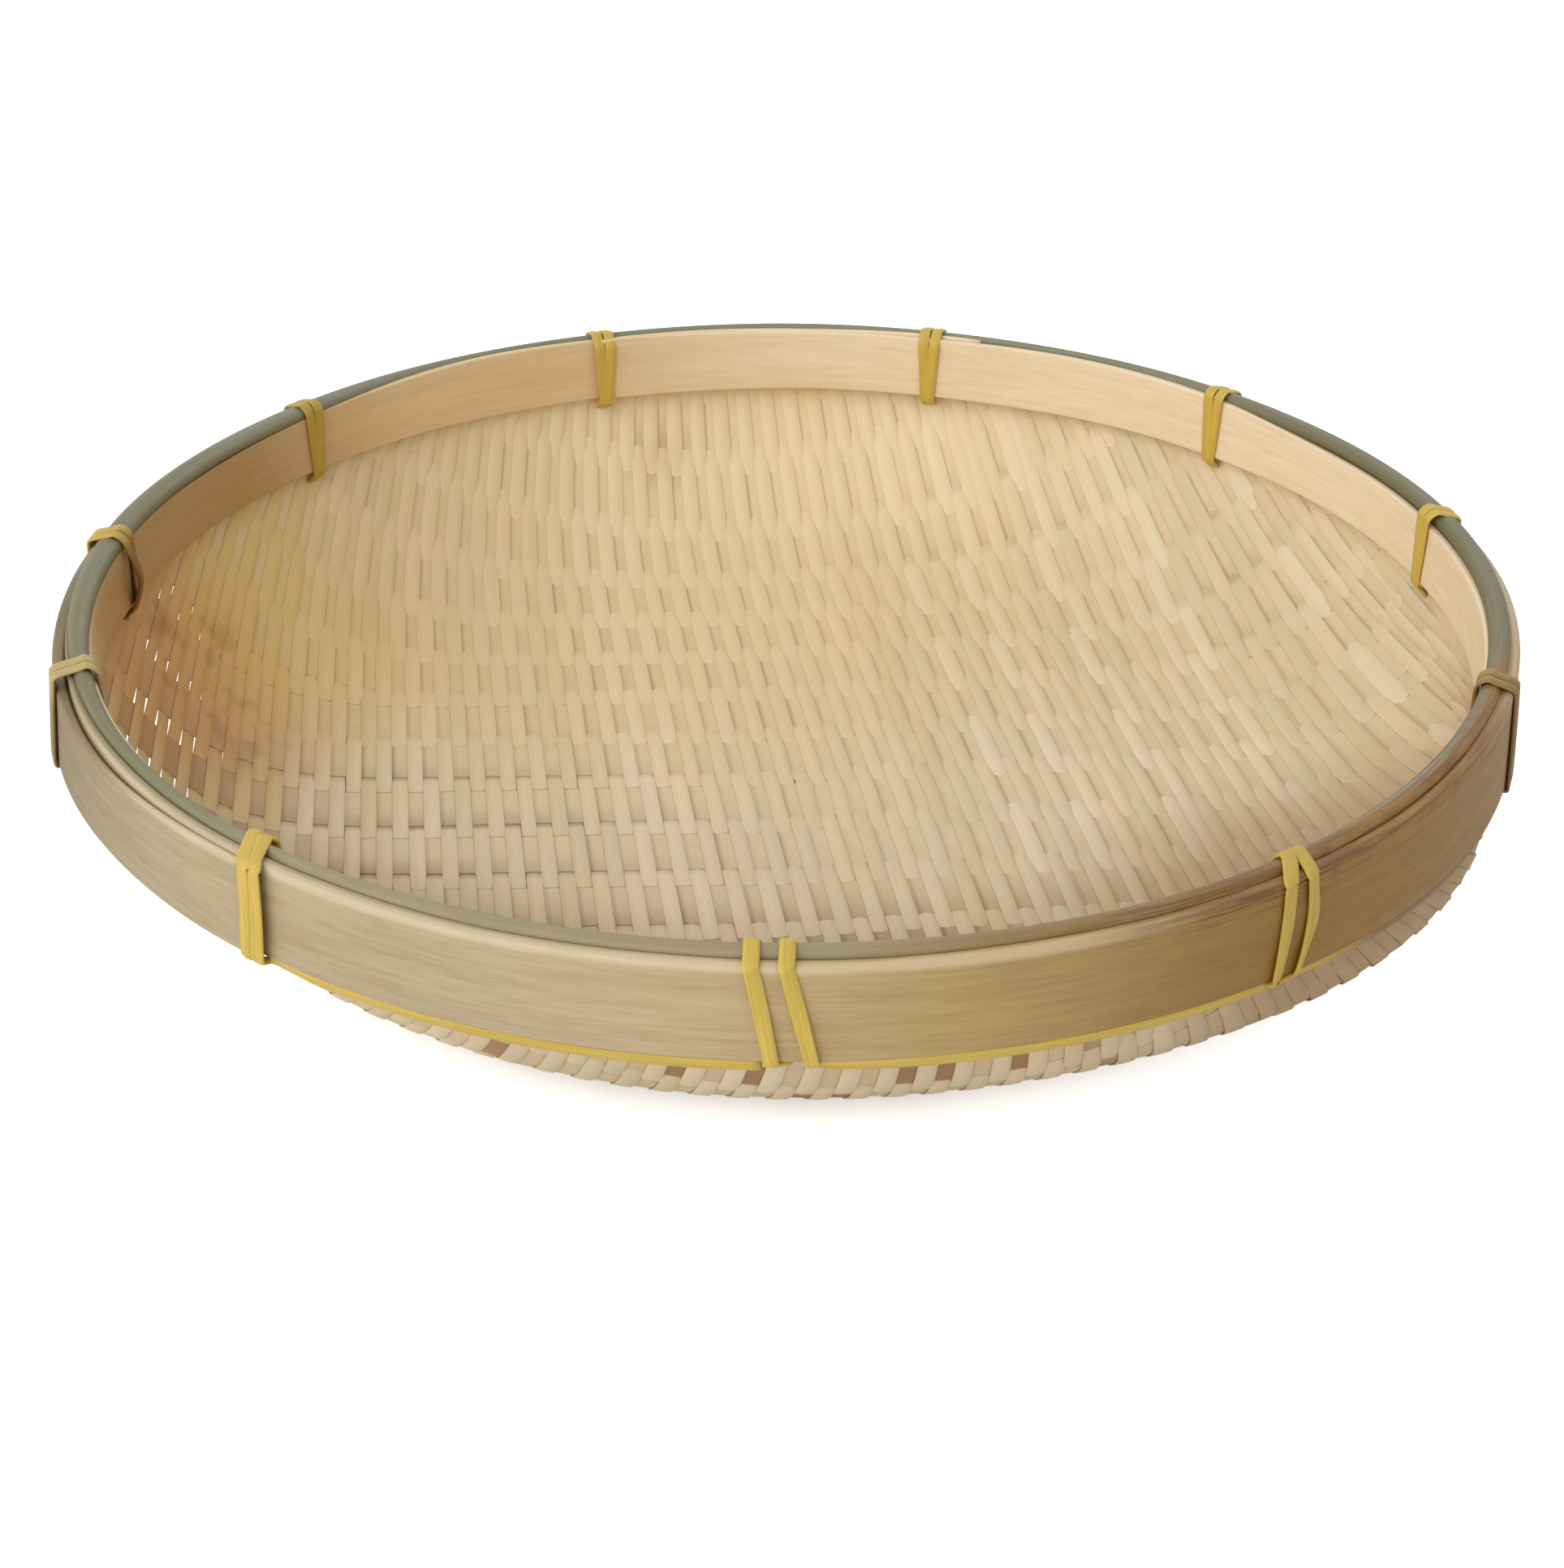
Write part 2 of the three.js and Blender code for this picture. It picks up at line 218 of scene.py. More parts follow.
# soft masks for what lies high up and what lies far out from the basket's axis, in millimetres
def makeEdge():
    inputs = {"Low": 22.0, "High": 22.6, "Inside": 64.0, "Outside": 64.5}
    group, given, out = newGroup("edge", inputs, ["Up", "Out"])
    place = placeInMm(group)
    high = addNode(group, "ShaderNodeSeparateXYZ", {0: place}).outputs["Z"]
    flat = addNode(group, "ShaderNodeVectorMath", {0: place, 1: (1, 1, 0)}, operation="MULTIPLY").outputs[0]
    far = addNode(group, "ShaderNodeVectorMath", {0: flat}, operation="LENGTH").outputs["Value"]
    group.links.new(softStep(group, high, given["Low"], given["High"]), out["Up"])
    group.links.new(softStep(group, far, given["Inside"], given["Outside"]), out["Out"])
    return group


fibres = makeFibres()
stains = makeStains()
zone = makeZone()
edge = makeEdge()


# tints laid over a base colour, each in a zone of its own, inside masks that they share
def tintZones(tree, base, zones, *masks):
    for place, inner, outer, strength, tint in zones:
        own = useGroup(tree, zone, {"Place": place, "Inner": inner, "Outer": outer})["Mask"]
        base = mixColour(tree, product(tree, own, *masks, strength), base, tint)
    return base


# surface of a finish: roughness between two values and relief of some depth, both by its streaks
def finishSurface(tree, bsdf, tint, streak, smoothest, roughest, relief, depth):
    inputs = {"Value": streak["Streaks"], "To Min": smoothest, "To Max": roughest}
    rough = addNode(tree, "ShaderNodeMapRange", inputs).outputs[0]
    inputs = {"Height": streak["Height"], "Strength": relief, "Distance": depth}
    bump = addNode(tree, "ShaderNodeBump", inputs).outputs[0]
    for value, name in ((tint, "Base Color"), (rough, "Roughness"), (bump, "Normal")):
        tree.links.new(value, bsdf.inputs[name])


print("node groups made")


lane = 20.0  # millimetres between strips on their UV map


# mesh of strips: rings of corners carried along each strip, closed round and capped at both ends,
# with faces that look outwards and marks kept at the corners
def sweptMesh(name, rings, along, around, tones, material, **marks):
    strips, steps, corners, _ = rings.shape
    index = np.arange(strips * steps * corners).reshape(strips, steps, corners)
    turned = np.roll(index, -1, axis=2)
    quads = np.stack([index[:, :-1], turned[:, :-1], turned[:, 1:], index[:, 1:]], axis=-1).reshape(-1, 4)
    caps = np.concatenate([index[:, 0, ::-1], index[:, -1, :]])
    a, b, c, d = (rings.reshape(-1, 3)[quads[:, k]] for k in range(4))
    volume = np.einsum("ij,ij->", a, np.cross(b, c)) + np.einsum("ij,ij->", a, np.cross(c, d))
    if volume < 0:
        quads = quads[:, ::-1]
        caps = caps[:, ::-1]
    loops = np.concatenate([quads.ravel(), caps.ravel()])
    totals = np.concatenate([np.full(len(quads), 4), np.full(len(caps), corners)])
    mesh = bpy.data.meshes.new(name)
    mesh.vertices.add(index.size)
    mesh.vertices.foreach_set("co", rings.astype(np.float32).ravel())
    mesh.loops.add(len(loops))
    mesh.loops.foreach_set("vertex_index", loops.astype(np.int32))
    mesh.polygons.add(len(totals))
    mesh.polygons.foreach_set("loop_start", np.concatenate([[0], np.cumsum(totals)[:-1]]).astype(np.int32))
    mesh.polygons.foreach_set("use_smooth", np.ones(len(totals), bool))

    # strip coordinates in millimetres: along it, and round it with each strip in a lane of its own
    strip, step, corner = np.unravel_index(loops, index.shape)
    wraps = (corner == 0) & (np.arange(len(loops)) < quads.size)
    others = np.repeat(corner[: quads.size].reshape(-1, 4).max(axis=1), 4)
    wraps[: quads.size] &= others == corners - 1
    flat = np.stack([along[strip, step], around[np.where(wraps, corners, corner)] + lane * strip], axis=-1)
    layer = mesh.uv_layers.new(name="strip")
    layer.data.foreach_set("uv", flat.astype(np.float32).ravel())
    tone = mesh.attributes.new("tone", "FLOAT", "POINT")
    tone.data.foreach_set("value", np.repeat(tones, steps * corners).astype(np.float32))
    for label, values in marks.items():
        mark = mesh.attributes.new(label, "FLOAT", "POINT")
        mark.data.foreach_set("value", values.astype(np.float32).ravel())
    mesh.update(calc_edges=True)
    mesh.validate()
    thing = bpy.data.objects.new(name, mesh)
    bpy.context.scene.collection.objects.link(thing)
    mesh.materials.append(material)
    return thing


def lengthAlong(middles):  # distance run along each strip's middle line, in millimetres
    gaps = np.linalg.norm(np.diff(middles, axis=1), axis=-1)
    return np.concatenate([np.zeros((len(middles), 1)), np.cumsum(gaps, axis=1)], axis=1) / mm


def lengthAround(section):  # distance run round a section of corners, in millimetres
    return np.concatenate([[0], np.cumsum(np.linalg.norm(np.roll(section, -1, 0) - section, axis=1))]) / mm


def oneStrip(name, rings, section, material):  # a single strip, its line the middle of its rings
    along = lengthAlong(rings.mean(axis=1)[None])
    return sweptMesh(name, rings[None], along, lengthAround(section), np.array([0.5]), material)


def smoothstep(x, low, high):  # 3 t^2 - 2 t^3, with t from 0 at low to 1 at high
    t = np.clip((x - low) / (high - low), 0, 1)
    return t * t * (3 - 2 * t)


def unit(vectors):
    return vectors / np.linalg.norm(vectors, axis=-1, keepdims=True)


# rounded rectangle between two radii and two heights: five points on each corner's arc and some
# between them on the two tall sides
def roundedBox(near, far, bottom, top, rounding, tall=5):
    radius = np.minimum(rounding, 0.49 * np.abs(far - near))
    way = np.sign(far - near)
    arc = np.radians(np.linspace(0, 90, 5))
    parts = []
    for side, height, across, up, start in (
        (far, bottom, 1, 1, 270),
        (far, top, 1, -1, 0),
        (near, top, -1, -1, 90),
        (near, bottom, -1, 1, 180),
    ):
        turn = np.radians(start) + arc
        x = (side - across * way * radius)[:, None] + (way * radius)[:, None] * np.cos(turn)
        z = (height + up * radius)[:, None] + radius[:, None] * np.sin(turn)
        parts.append(np.stack([x, z], axis=-1))
    share = np.linspace(0, 1, tall + 2)[None, 1:-1, None]
    outside = parts[0][:, -1:] * (1 - share) + parts[1][:, :1] * share
    inside = parts[2][:, -1:] * (1 - share) + parts[3][:, :1] * share
    return np.concatenate([parts[0], outside, parts[1], parts[2], inside, parts[3]], axis=1)


def ringPoints(angles, radius, height):  # angles in degrees round the basket's axis
    turn = np.radians(angles)
    return np.stack([radius * np.cos(turn), radius * np.sin(turn), height], axis=-1)


def turnedRings(angles, section):  # (radius, height) sections set round the basket's axis
    return ringPoints(angles[:, None], section[..., 0], section[..., 1])


# heights and radii that the frame gives
outerLow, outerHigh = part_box("outer_hoop")
innerLow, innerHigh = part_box("inner_hoop")
capLow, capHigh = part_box("rim_cap_strip")
_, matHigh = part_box("woven_mat")
rim = {
    "outside": outerHigh.x,  # plain face of the outer hoop
    "top": outerHigh.z,
    "bottom": outerLow.z,
    "mat": matHigh.x,  # outside of the clamped mat
    "innerFace": innerHigh.x,  # face of the inner hoop against the mat
    "innerTop": innerHigh.z,
    "innerBottom": innerLow.z,
    "capTop": capHigh.z,
    "capBottom": capLow.z,
    "fit": 0.15 * mm,
    "tip": 0.35 * mm,  # thickness of a hoop's thinned ends
    "lapRamp": 25.0,  # degrees in which a hoop climbs over its own start
}


# woven mat
mat = {
    "foot": 20.0 * mm,
    "drop": 2.0 * mm,  # inner hoop's bottom edge to the start of the wall
    "inset": 0.5 * mm,
    "curve": 6.0,  # power of the bowl's profile
    "thick": 0.46 * mm,
    "edgeThick": 0.42 * mm,
    "tuck": 0.4 * mm,  # splints' ends under the mat's top edge
    "turn": 8.5,  # degrees between the warps and the line of sight
    "warpPitch": 1.4716 * mm,
    "warpFirst": -0.12 * mm,
    "warpWidth": 1.54 * mm,
    "warpThick": 0.16 * mm,
    "warpLift": 0.12 * mm,
    "warpJitter": 0.015 * mm,
    "warpDrift": 0.04 * mm,
    "warpShortest": 6 * mm,
    "warpSteps": 320,
    "weftPitch": 8.74 * mm,
    "weftFirst": 4.5 * mm,
    "weftWidth": 6.4 * mm,
    "weftThick": 0.1 * mm,
    "weftLift": 0.02 * mm,
    "weftJitter": 0.18 * mm,
    "weftDrift": 0.25 * mm,
    "weftFarthest": 67 * mm,
    "weftSteps": 500,
    "swingLeft": 0.1,
    "swingRight": 0.04,
    "bulge": {
        "out": 5.2 * mm,
        "angle": -24.0,
        "spread": 38.0,
        "height": 7.6 * mm,
        "reach": 4.2 * mm,
        "under": 15.4 * mm,  # gone at the outer hoop's lower edge
    },
    "flips": 0.015,  # share of crossings on the right where a warp misses its turn
    "flipsFrom": 27 * mm,
    "calmed": 0.45,  # how much lower the weave's relief is where it lies flat
    "drawnLeft": 0.65,  # how far splints are drawn together where the rim leaves less room
    "drawnRight": 0.35,
    "fuller": 0.18,  # how much wider warps are at the back
    "agedFrom": -48.5 * mm,  # warps farther left have aged
    # painted shade in recessed cells of the front's underside: the share of crossings that get it, and how
    # dark
    "shadedCellShare": 0.28,  # of the front wefts' crossings
    "shadedCellStrength": 0.8,
    "wide": {14: 1.1, 18: 1.14, 24: 1.1, 40: 1.25},  # single warps by number, by width
    "narrow": {-43: 0.84, -42: 0.93, -41: 0.85, -40: 0.93, -39: 0.86, -17: 0.96, -6: 0.93},
    "narrowRight": {3: 0.95, 30: 0.97, 35: 0.97},
    "seed": 11,
}
weavePatches = {  # strength, place and half widths in mm, across and along the warps
    "raised": ((1.2, -36, -10, 26, 24), (1.0, 5, -50, 50, 18)),
    # the dashes row sets where the painted shadow of dark dashes shows, the next row where painted shade
    # patches lie, the last where recessed cells of the front's underside get painted shade
    "dashes": ((0.8, -34, -8, 22, 17), (0.35, 30, 47, 14, 10), (0.35, 54, 25, 8, 14)),
    "dusk": ((0.1, -14, 32, 24, 18), (0.5, 3, -27, 32, 6)),
    "shadedCells": ((1.0, -8, -56, 30, 18),),
}


# middle surface of the mat: a flat foot, a power curve up to the wall, a Bezier bend and the
# straight clamped edge, pushed inwards by half the sheet's thickness
def matCurve():
    wall = rim["mat"] - mat["inset"]
    rise = rim["innerBottom"] - mat["drop"]
    share = np.linspace(0, 1, 160) ** 0.7
    floor = np.stack([mat["foot"] + (wall - mat["foot"]) * share, rise * share ** mat["curve"]], axis=1)
    slope = mat["curve"] * rise / (wall - mat["foot"])
    t = np.linspace(0, 1, 30)[1:, None]
    corner = np.array([rim["mat"], rise + mat["inset"] * slope])
    last = np.array([rim["mat"], rim["innerBottom"] + mat["inset"] / 2])
    bend = (1 - t) ** 2 * floor[-1] + 2 * t * (1 - t) * corner + t**2 * last
    up = np.stack([np.full(20, rim["mat"]), np.linspace(last[1], rim["innerTop"], 21)[1:]], axis=1)
    flat = np.stack([np.linspace(0, mat["foot"], 20)[:-1], np.zeros(19)], axis=1)
    outside = np.concatenate([flat, floor, bend, up])
    along = np.gradient(outside, axis=0)
    along /= np.linalg.norm(along, axis=1)[:, None]
    steep = np.clip(along[:, 1], 0, 1) ** 2
    thick = mat["thick"] + (mat["edgeThick"] - mat["thick"]) * steep
    middle = outside + np.stack([-along[:, 1], along[:, 0]], axis=1) * thick[:, None] / 2
    run = np.concatenate([[0], np.cumsum(np.linalg.norm(np.diff(middle, axis=0), axis=1))])
    return run, middle[:, 0], middle[:, 1], thick


spread, curveRadius, curveHeight, curveThick = matCurve()
reach = spread[-1] - mat["tuck"]  # how far a splint runs up between the hoops
turnedBy = math.radians(mat["turn"])


# place of weave coordinates (u across the warps, v along them) on the mat's middle surface, which
# swells out by a hump in angle and height at the front right
def onMat(u, v):
    far = np.hypot(u, v)
    radius, height = np.interp(far, spread, curveRadius), np.interp(far, spread, curveHeight)
    angle = np.arctan2(v, u) + turnedBy
    swell = mat["bulge"]
    aside = np.angle(np.exp(1j * (angle - math.radians(swell["angle"])))) / math.radians(swell["spread"])
    raised = (height - swell["height"]) / swell["reach"]
    kept = smoothstep(swell["under"] - height, 0, 3 * mm)
    radius = radius + swell["out"] * np.exp(-(aside**2) - raised**2) * kept
    return np.stack([radius * np.cos(angle), radius * np.sin(angle), height], axis=-1)


# unit normal of the mat at (u, v) and its stretch across the warps, both from small steps on it
def matNormal(u, v, step=0.15 * mm):
    across = onMat(u + step, v) - onMat(u - step, v)
    ahead = onMat(u, v + step) - onMat(u, v - step)
    return unit(np.cross(across, ahead)), np.linalg.norm(across, axis=-1) / (2 * step)


def squeeze(u, v):  # 1 on the open mat, less between the hoops
    return np.interp(np.hypot(u, v), spread, curveThick) / mat["thick"]


rng = np.random.default_rng(mat["seed"])
weftCount = 8
weftIndex = np.arange(-weftCount, weftCount + 1)
weftJitter = rng.normal(0, mat["weftJitter"], len(weftIndex))
weftPhase = rng.uniform(0, 6.28, len(weftIndex))


# middle of every weft at u, rows x places: wefts swing back on the left, and a little forward
# on the right
def weftLine(u):
    rows = mat["weftFirst"] + mat["weftPitch"] * weftIndex + weftJitter
    swing = mat["swingLeft"] * np.maximum(-u, 0) ** 2 / (np.maximum(-u, 0) + 4 * mm)
    swing -= mat["swingRight"] * np.maximum(u - 10 * mm, 0)
    drift = mat["weftDrift"] * np.sin(u[None] / (17 * mm) + weftPhase[:, None])
    return rows[:, None] + swing[None] + drift


warps = np.arange(-51, 52)


# which side of each weft a warp lies on, by turns, with a few misses on the right
def overUnder():
    regular = 1 - 2 * ((warps[:, None] + weftIndex[None]) % 2)
    right = warps[:, None] * mat["warpPitch"] > mat["flipsFrom"]
    missed = right & (np.random.default_rng(mat["seed"] + 300).random(regular.shape) < mat["flips"])
    return np.where(missed, -regular, regular)


over = overUnder()


def weftRows(u, v):  # the wefts' places along each warp, and where v lies among them
    lines = weftLine(u)
    return lines, np.stack([np.interp(v[k], lines[:, k], weftIndex) for k in range(len(u))])


# height of warps over the mat's middle, between -1 and 1: level on each side of a weft,
# with a smooth step between two wefts where the side changes
def warpWave(u, v, warp):
    _, row = weftRows(u, v)
    lower = np.clip(np.floor(row), weftIndex[0], weftIndex[-1] - 1).astype(int)
    own = over[warp - warps[0]]
    before = np.take_along_axis(own, lower - weftIndex[0], axis=1)
    after = np.take_along_axis(own, lower - weftIndex[0] + 1, axis=1)
    return before + (after - before) * smoothstep(row - lower, 0.24, 0.76)


# a warp's section: the upper half of a flat lens with blunt edges, and its turned copy below
def stripSection(width, thick):
    across = np.array([0.5, 0.455, 0, -0.455])
    high = np.array([0, 0.44, 0.6, 0.44])
    upper = np.stack([across * width, high * thick], axis=1)
    return np.concatenate([upper, -upper])


def humps(u, v, rows):  # sum of strength * exp(-(u / wideU)^2 - (v / wideV)^2), places in mm
    return sum(
        strength * np.exp(-(((u / mm - placeU) / wideU) ** 2) - ((v / mm - placeV) / wideV) ** 2)
        for strength, placeU, placeV, wideU, wideV in rows
    )


# how flat the weave lies, 0 to 1: the splints stand up on the left and along the front
def calm(u, v):
    return np.clip(1 - humps(u, v, weavePatches["raised"]), 0, 1)


# how clearly the dark dashes of painted shadow in front of the wefts show, 0 to 1
def dashShare(u, v):
    return np.clip(0.04 + humps(u, v, weavePatches["dashes"]), 0, 0.9)


# shade by the front of the rim: grows outwards from a circle round a place behind the middle,
# on the half towards the camera
def frontShade(places):
    far = np.hypot(places[..., 0], places[..., 1] - 46.7 * mm)
    shown = 0.4 * (1 - 0.8 * smoothstep(places[..., 0], 10 * mm, 35 * mm))
    return shown * smoothstep(far, 68 * mm, 79 * mm) * smoothstep(-places[..., 1], 6 * mm, 20 * mm)


# warps: a flat section carried along lines of constant u, lifted over and under the wefts by the
# wave; each has its own width, narrower where the rim leaves less room, wider where the mat swells
def makeWarps(name, part, material):
    long = np.abs(warps) * mat["warpPitch"] < reach - mat["warpShortest"]
    warp = warps[long & (warps % 3 == part)]
    draw = np.random.default_rng(mat["seed"] + 100 + part)
    n = len(warp)
    u0 = mat["warpFirst"] + warp * mat["warpPitch"] + draw.normal(0, mat["warpJitter"], n)
    half = np.sqrt(reach**2 - u0**2)
    v = half[:, None] * np.linspace(-1, 1, mat["warpSteps"])[None]
    drift = draw.uniform(-1, 1, (n, 1)) * mat["warpDrift"]
    u = u0[:, None] + drift * np.sin(v / (19 * mm) + draw.uniform(0, 6.28, (n, 1)))
    normal, stretch = matNormal(u, v)
    thin = squeeze(u, v)
    lift = mat["warpLift"] * warpWave(u0, v, warp) * thin * (1 - mat["calmed"] * calm(u, v))
    middle = onMat(u, v) + normal * lift[..., None]
    along = unit(np.gradient(middle, axis=1))
    side = unit(np.cross(along, normal))
    up = np.cross(side, along)

    chosen = mat["wide"] | mat["narrow"] | mat["narrowRight"]
    own = np.array([chosen.get(int(k), 1.0) for k in warp])
    widths = own * np.clip(draw.normal(1.0, 0.02, n), 0.96, 1.04)
    drawn = np.where(u0 < 0, mat["drawnLeft"], mat["drawnRight"])[:, None]
    widths = widths[:, None] * (1 - drawn * (1 - np.clip(stretch, 0.7, 1.0)))
    widths = widths * (1 + mat["fuller"] * smoothstep(v, 5 * mm, 40 * mm)) * np.maximum(stretch, 1)
    section = stripSection(mat["warpWidth"], mat["warpThick"])
    wide = side[:, :, None] * section[None, None, :, :1] * widths[..., None, None]
    tall = up[:, :, None] * section[None, None, :, 1:] * thin[..., None, None]
    rings = middle[:, :, None] + wide + tall

    slow = 0.5 + 0.3 * np.sin(warp / 2.9 + 1.0) * np.sin(warp / 7.3) + draw.uniform(-0.38, 0.38, n)
    tones = np.clip(slow, 0.02, 0.98)
    tones[own > 1] = 0.97
    tones[warp * mat["warpPitch"] < mat["agedFrom"]] += 2  # for their finish, which reads it as age
    # painted shadow: a dark dash just in front of every weft a warp passes under, plus painted shade by the
    # front of the rim on the upper side
    lines, row = weftRows(u0, v)
    ahead = np.clip(np.ceil(row), weftIndex[0], weftIndex[-1]).astype(int) - weftIndex[0]
    gap = np.take_along_axis(lines.T, ahead, axis=1) - mat["weftWidth"] / 2 - v
    under = np.take_along_axis(over[warp - warps[0]], ahead, axis=1) < 0
    chance = np.take_along_axis(draw.uniform(0.35, 1.0, (n, len(weftIndex))), ahead, axis=1)
    dash = under * chance * dashShare(u, v) * smoothstep(-gap, -1.0 * mm, -0.25 * mm)
    dusk = np.clip(dash[..., None] + frontShade(rings) * (section[:, 1] >= 0), 0, 1)
    return sweptMesh(name, rings, lengthAlong(middle), lengthAround(section), tones, material, dusk=dusk)


# wefts: a flat section carried along each weft's line, its corners laid on the mat one by one;
# painted shadow beside the warps that cross over it and towards its near edge, painted shade in patches and
# by the front of the rim, and painted shade in some recessed cells of the front's underside
def makeWefts(name, material):
    lines = mat["weftFirst"] + mat["weftPitch"] * weftIndex
    kept = np.flatnonzero(np.abs(lines) < mat["weftFarthest"])
    rows = weftIndex[kept]
    n = len(rows)
    draw = np.random.default_rng(mat["seed"] + 200)
    half = np.sqrt(reach**2 - (np.abs(lines[kept]) + 0.5 * mat["weftWidth"]) ** 2)
    u = half[:, None] * np.linspace(-1, 1, mat["weftSteps"])[None]
    middleV = np.stack([weftLine(u[k])[kept[k]] for k in range(n)])
    section = weftSection(mat["weftWidth"], mat["weftThick"])
    lift = -mat["weftLift"] * np.cos(np.pi * (u / mat["warpPitch"] + rows[:, None]))
    cornersU = np.repeat(u[..., None], len(section), axis=-1)
    cornersV = middleV[..., None] + section[None, None, :, 0]
    normal, _ = matNormal(cornersU, cornersV)
    lower = squeeze(cornersU, cornersV) * (1 - mat["calmed"] * calm(cornersU, cornersV))
    height = (lift[..., None] + section[None, None, :, 1]) * lower
    rings = onMat(cornersU, cornersV) + normal * height[..., None]
    along = lengthAlong(onMat(u, middleV))

    # painted shadow: a dark stripe on each shown weft patch beside the raised warp on its left, and
    # darkening towards the weft's near edge; painted shade in patches and by the front of the rim, on the
    # upper side only
    place = (u - mat["warpFirst"]) / mat["warpPitch"]
    nearest = np.clip(np.round(place), warps[0], warps[-1]).astype(int) - warps[0]
    weft = (rows - weftIndex[0])[:, None]
    shown = (over[nearest, weft] < 0) & (over[np.maximum(nearest - 1, 0), weft] > 0)
    beside = np.clip(1 - (place - np.round(place) + 0.5) / 0.34, 0, 1)
    each = np.arange(n)[:, None]
    chance = draw.uniform(0.1, 0.75, (n, len(warps)))[each, nearest]
    nearer = smoothstep(-section[:, 0], -0.05 * mat["weftWidth"], 0.5 * mat["weftWidth"])
    dusk = (shown * beside * chance)[..., None] + 0.55 * dashShare(cornersU, cornersV) * nearer
    dusk = dusk + humps(cornersU, cornersV, weavePatches["dusk"]) + frontShade(rings)
    tones = draw.uniform(0.35, 0.7, n)
    # painted shade: dark brown in some recessed cells of the front's underside
    shadedCells = (draw.random((n, len(warps))) < mat["shadedCellShare"])[each, nearest]
    front = smoothstep(humps(cornersU, cornersV, weavePatches["shadedCells"]), 0.3, 0.6)
    upper = section[:, 1] >= 0
    spots = mat["shadedCellStrength"] * shadedCells[..., None] * front * ~upper
    marks = {"dusk": np.clip(dusk * upper, 0, 1), "spots": spots}
    return sweptMesh(name, rings, along, lengthAround(section), tones, material, **marks)


# a weft's section: a low arch over a flatter underside, its edges thin
def weftSection(width, thick):
    places = np.array([0.5, 0.46, 0.32, 0.1, -0.1, -0.32, -0.46, -0.5])
    heights = np.array([0.08, 0.32, 0.5, 0.5, 0.5, 0.5, 0.32, 0.08])
    upper = np.stack([places * width, heights * thick], axis=1)
    lower = np.array([(-0.46, -0.3), (-0.15, -0.5), (0.15, -0.5), (0.46, -0.3)]) * [width, thick]
    return np.concatenate([upper, lower])


# finish of the splints: each has its own tone, with fibres along it and slow changes of hue;
# the far left ones have aged to olive, dark stains lie on the left wall, and painted shade and painted
# shadow lie over the weave
splint = {
    "pale": colour(243, 229, 201),
    "tan": colour(233, 212, 175),
    "dull": colour(216, 206, 170),
    "straw": colour(208, 190, 144),
    "fibre": colour(196, 174, 130),
    "pink": colour(238, 208, 174),
    "grey": colour(218, 211, 180),
    "olive": colour(206, 178, 104),
    "leftShadeBrown": colour(194, 138, 72),
    "brown": colour(150, 92, 36),
    "light": colour(250, 232, 192),
    "worn": colour(170, 138, 98),
    "deep": colour(146, 92, 24),
    "gold": colour(236, 194, 124),
    "ochre": colour(226, 188, 92),
    "shade": colour(138, 114, 66),
}
warpZones = [  # place in mm, inner and outer radius, strength, colour
    # painted shade: warm brown over the left wall, which lies in shade
    ((-61, 4, 10), 6.0, 24.0, 0.8, splint["leftShadeBrown"]),
    ((-15, 45, 8), 22.0, 62.0, 0.3, splint["gold"]),
    ((-8, 62, 14), 10.0, 56.0, 0.45, splint["light"]),
    ((-50, 20, 8), 6.0, 22.0, 0.4, splint["ochre"]),
    ((53, -34, 9), 20.0, 40.0, 0.85, splint["worn"]),
    ((-2, -42, 4), 22.0, 50.0, 0.13, splint["worn"]),
    # painted shade: brown in the gaps between the bars at the back
    ((-15, 58.5, 9), 1.0, 4.0, 0.12, splint["brown"]),
]
weftZones = warpZones[:-1] + [
    # painted shade: brown on the weft patches in the gaps at the back, in the hollows at the left front and
    # on the front's underside
    ((-15, 58.5, 9), 1.0, 6.0, 0.35, splint["brown"]),
    ((-56, -14, 7), 4.0, 20.0, 0.6, splint["brown"]),
    ((0, -61, 11), 8.0, 40.0, 0.15, splint["brown"]),
]
stainZones = [((-60, 4, 10), 8.0, 17.0, 0.5, splint["deep"])]


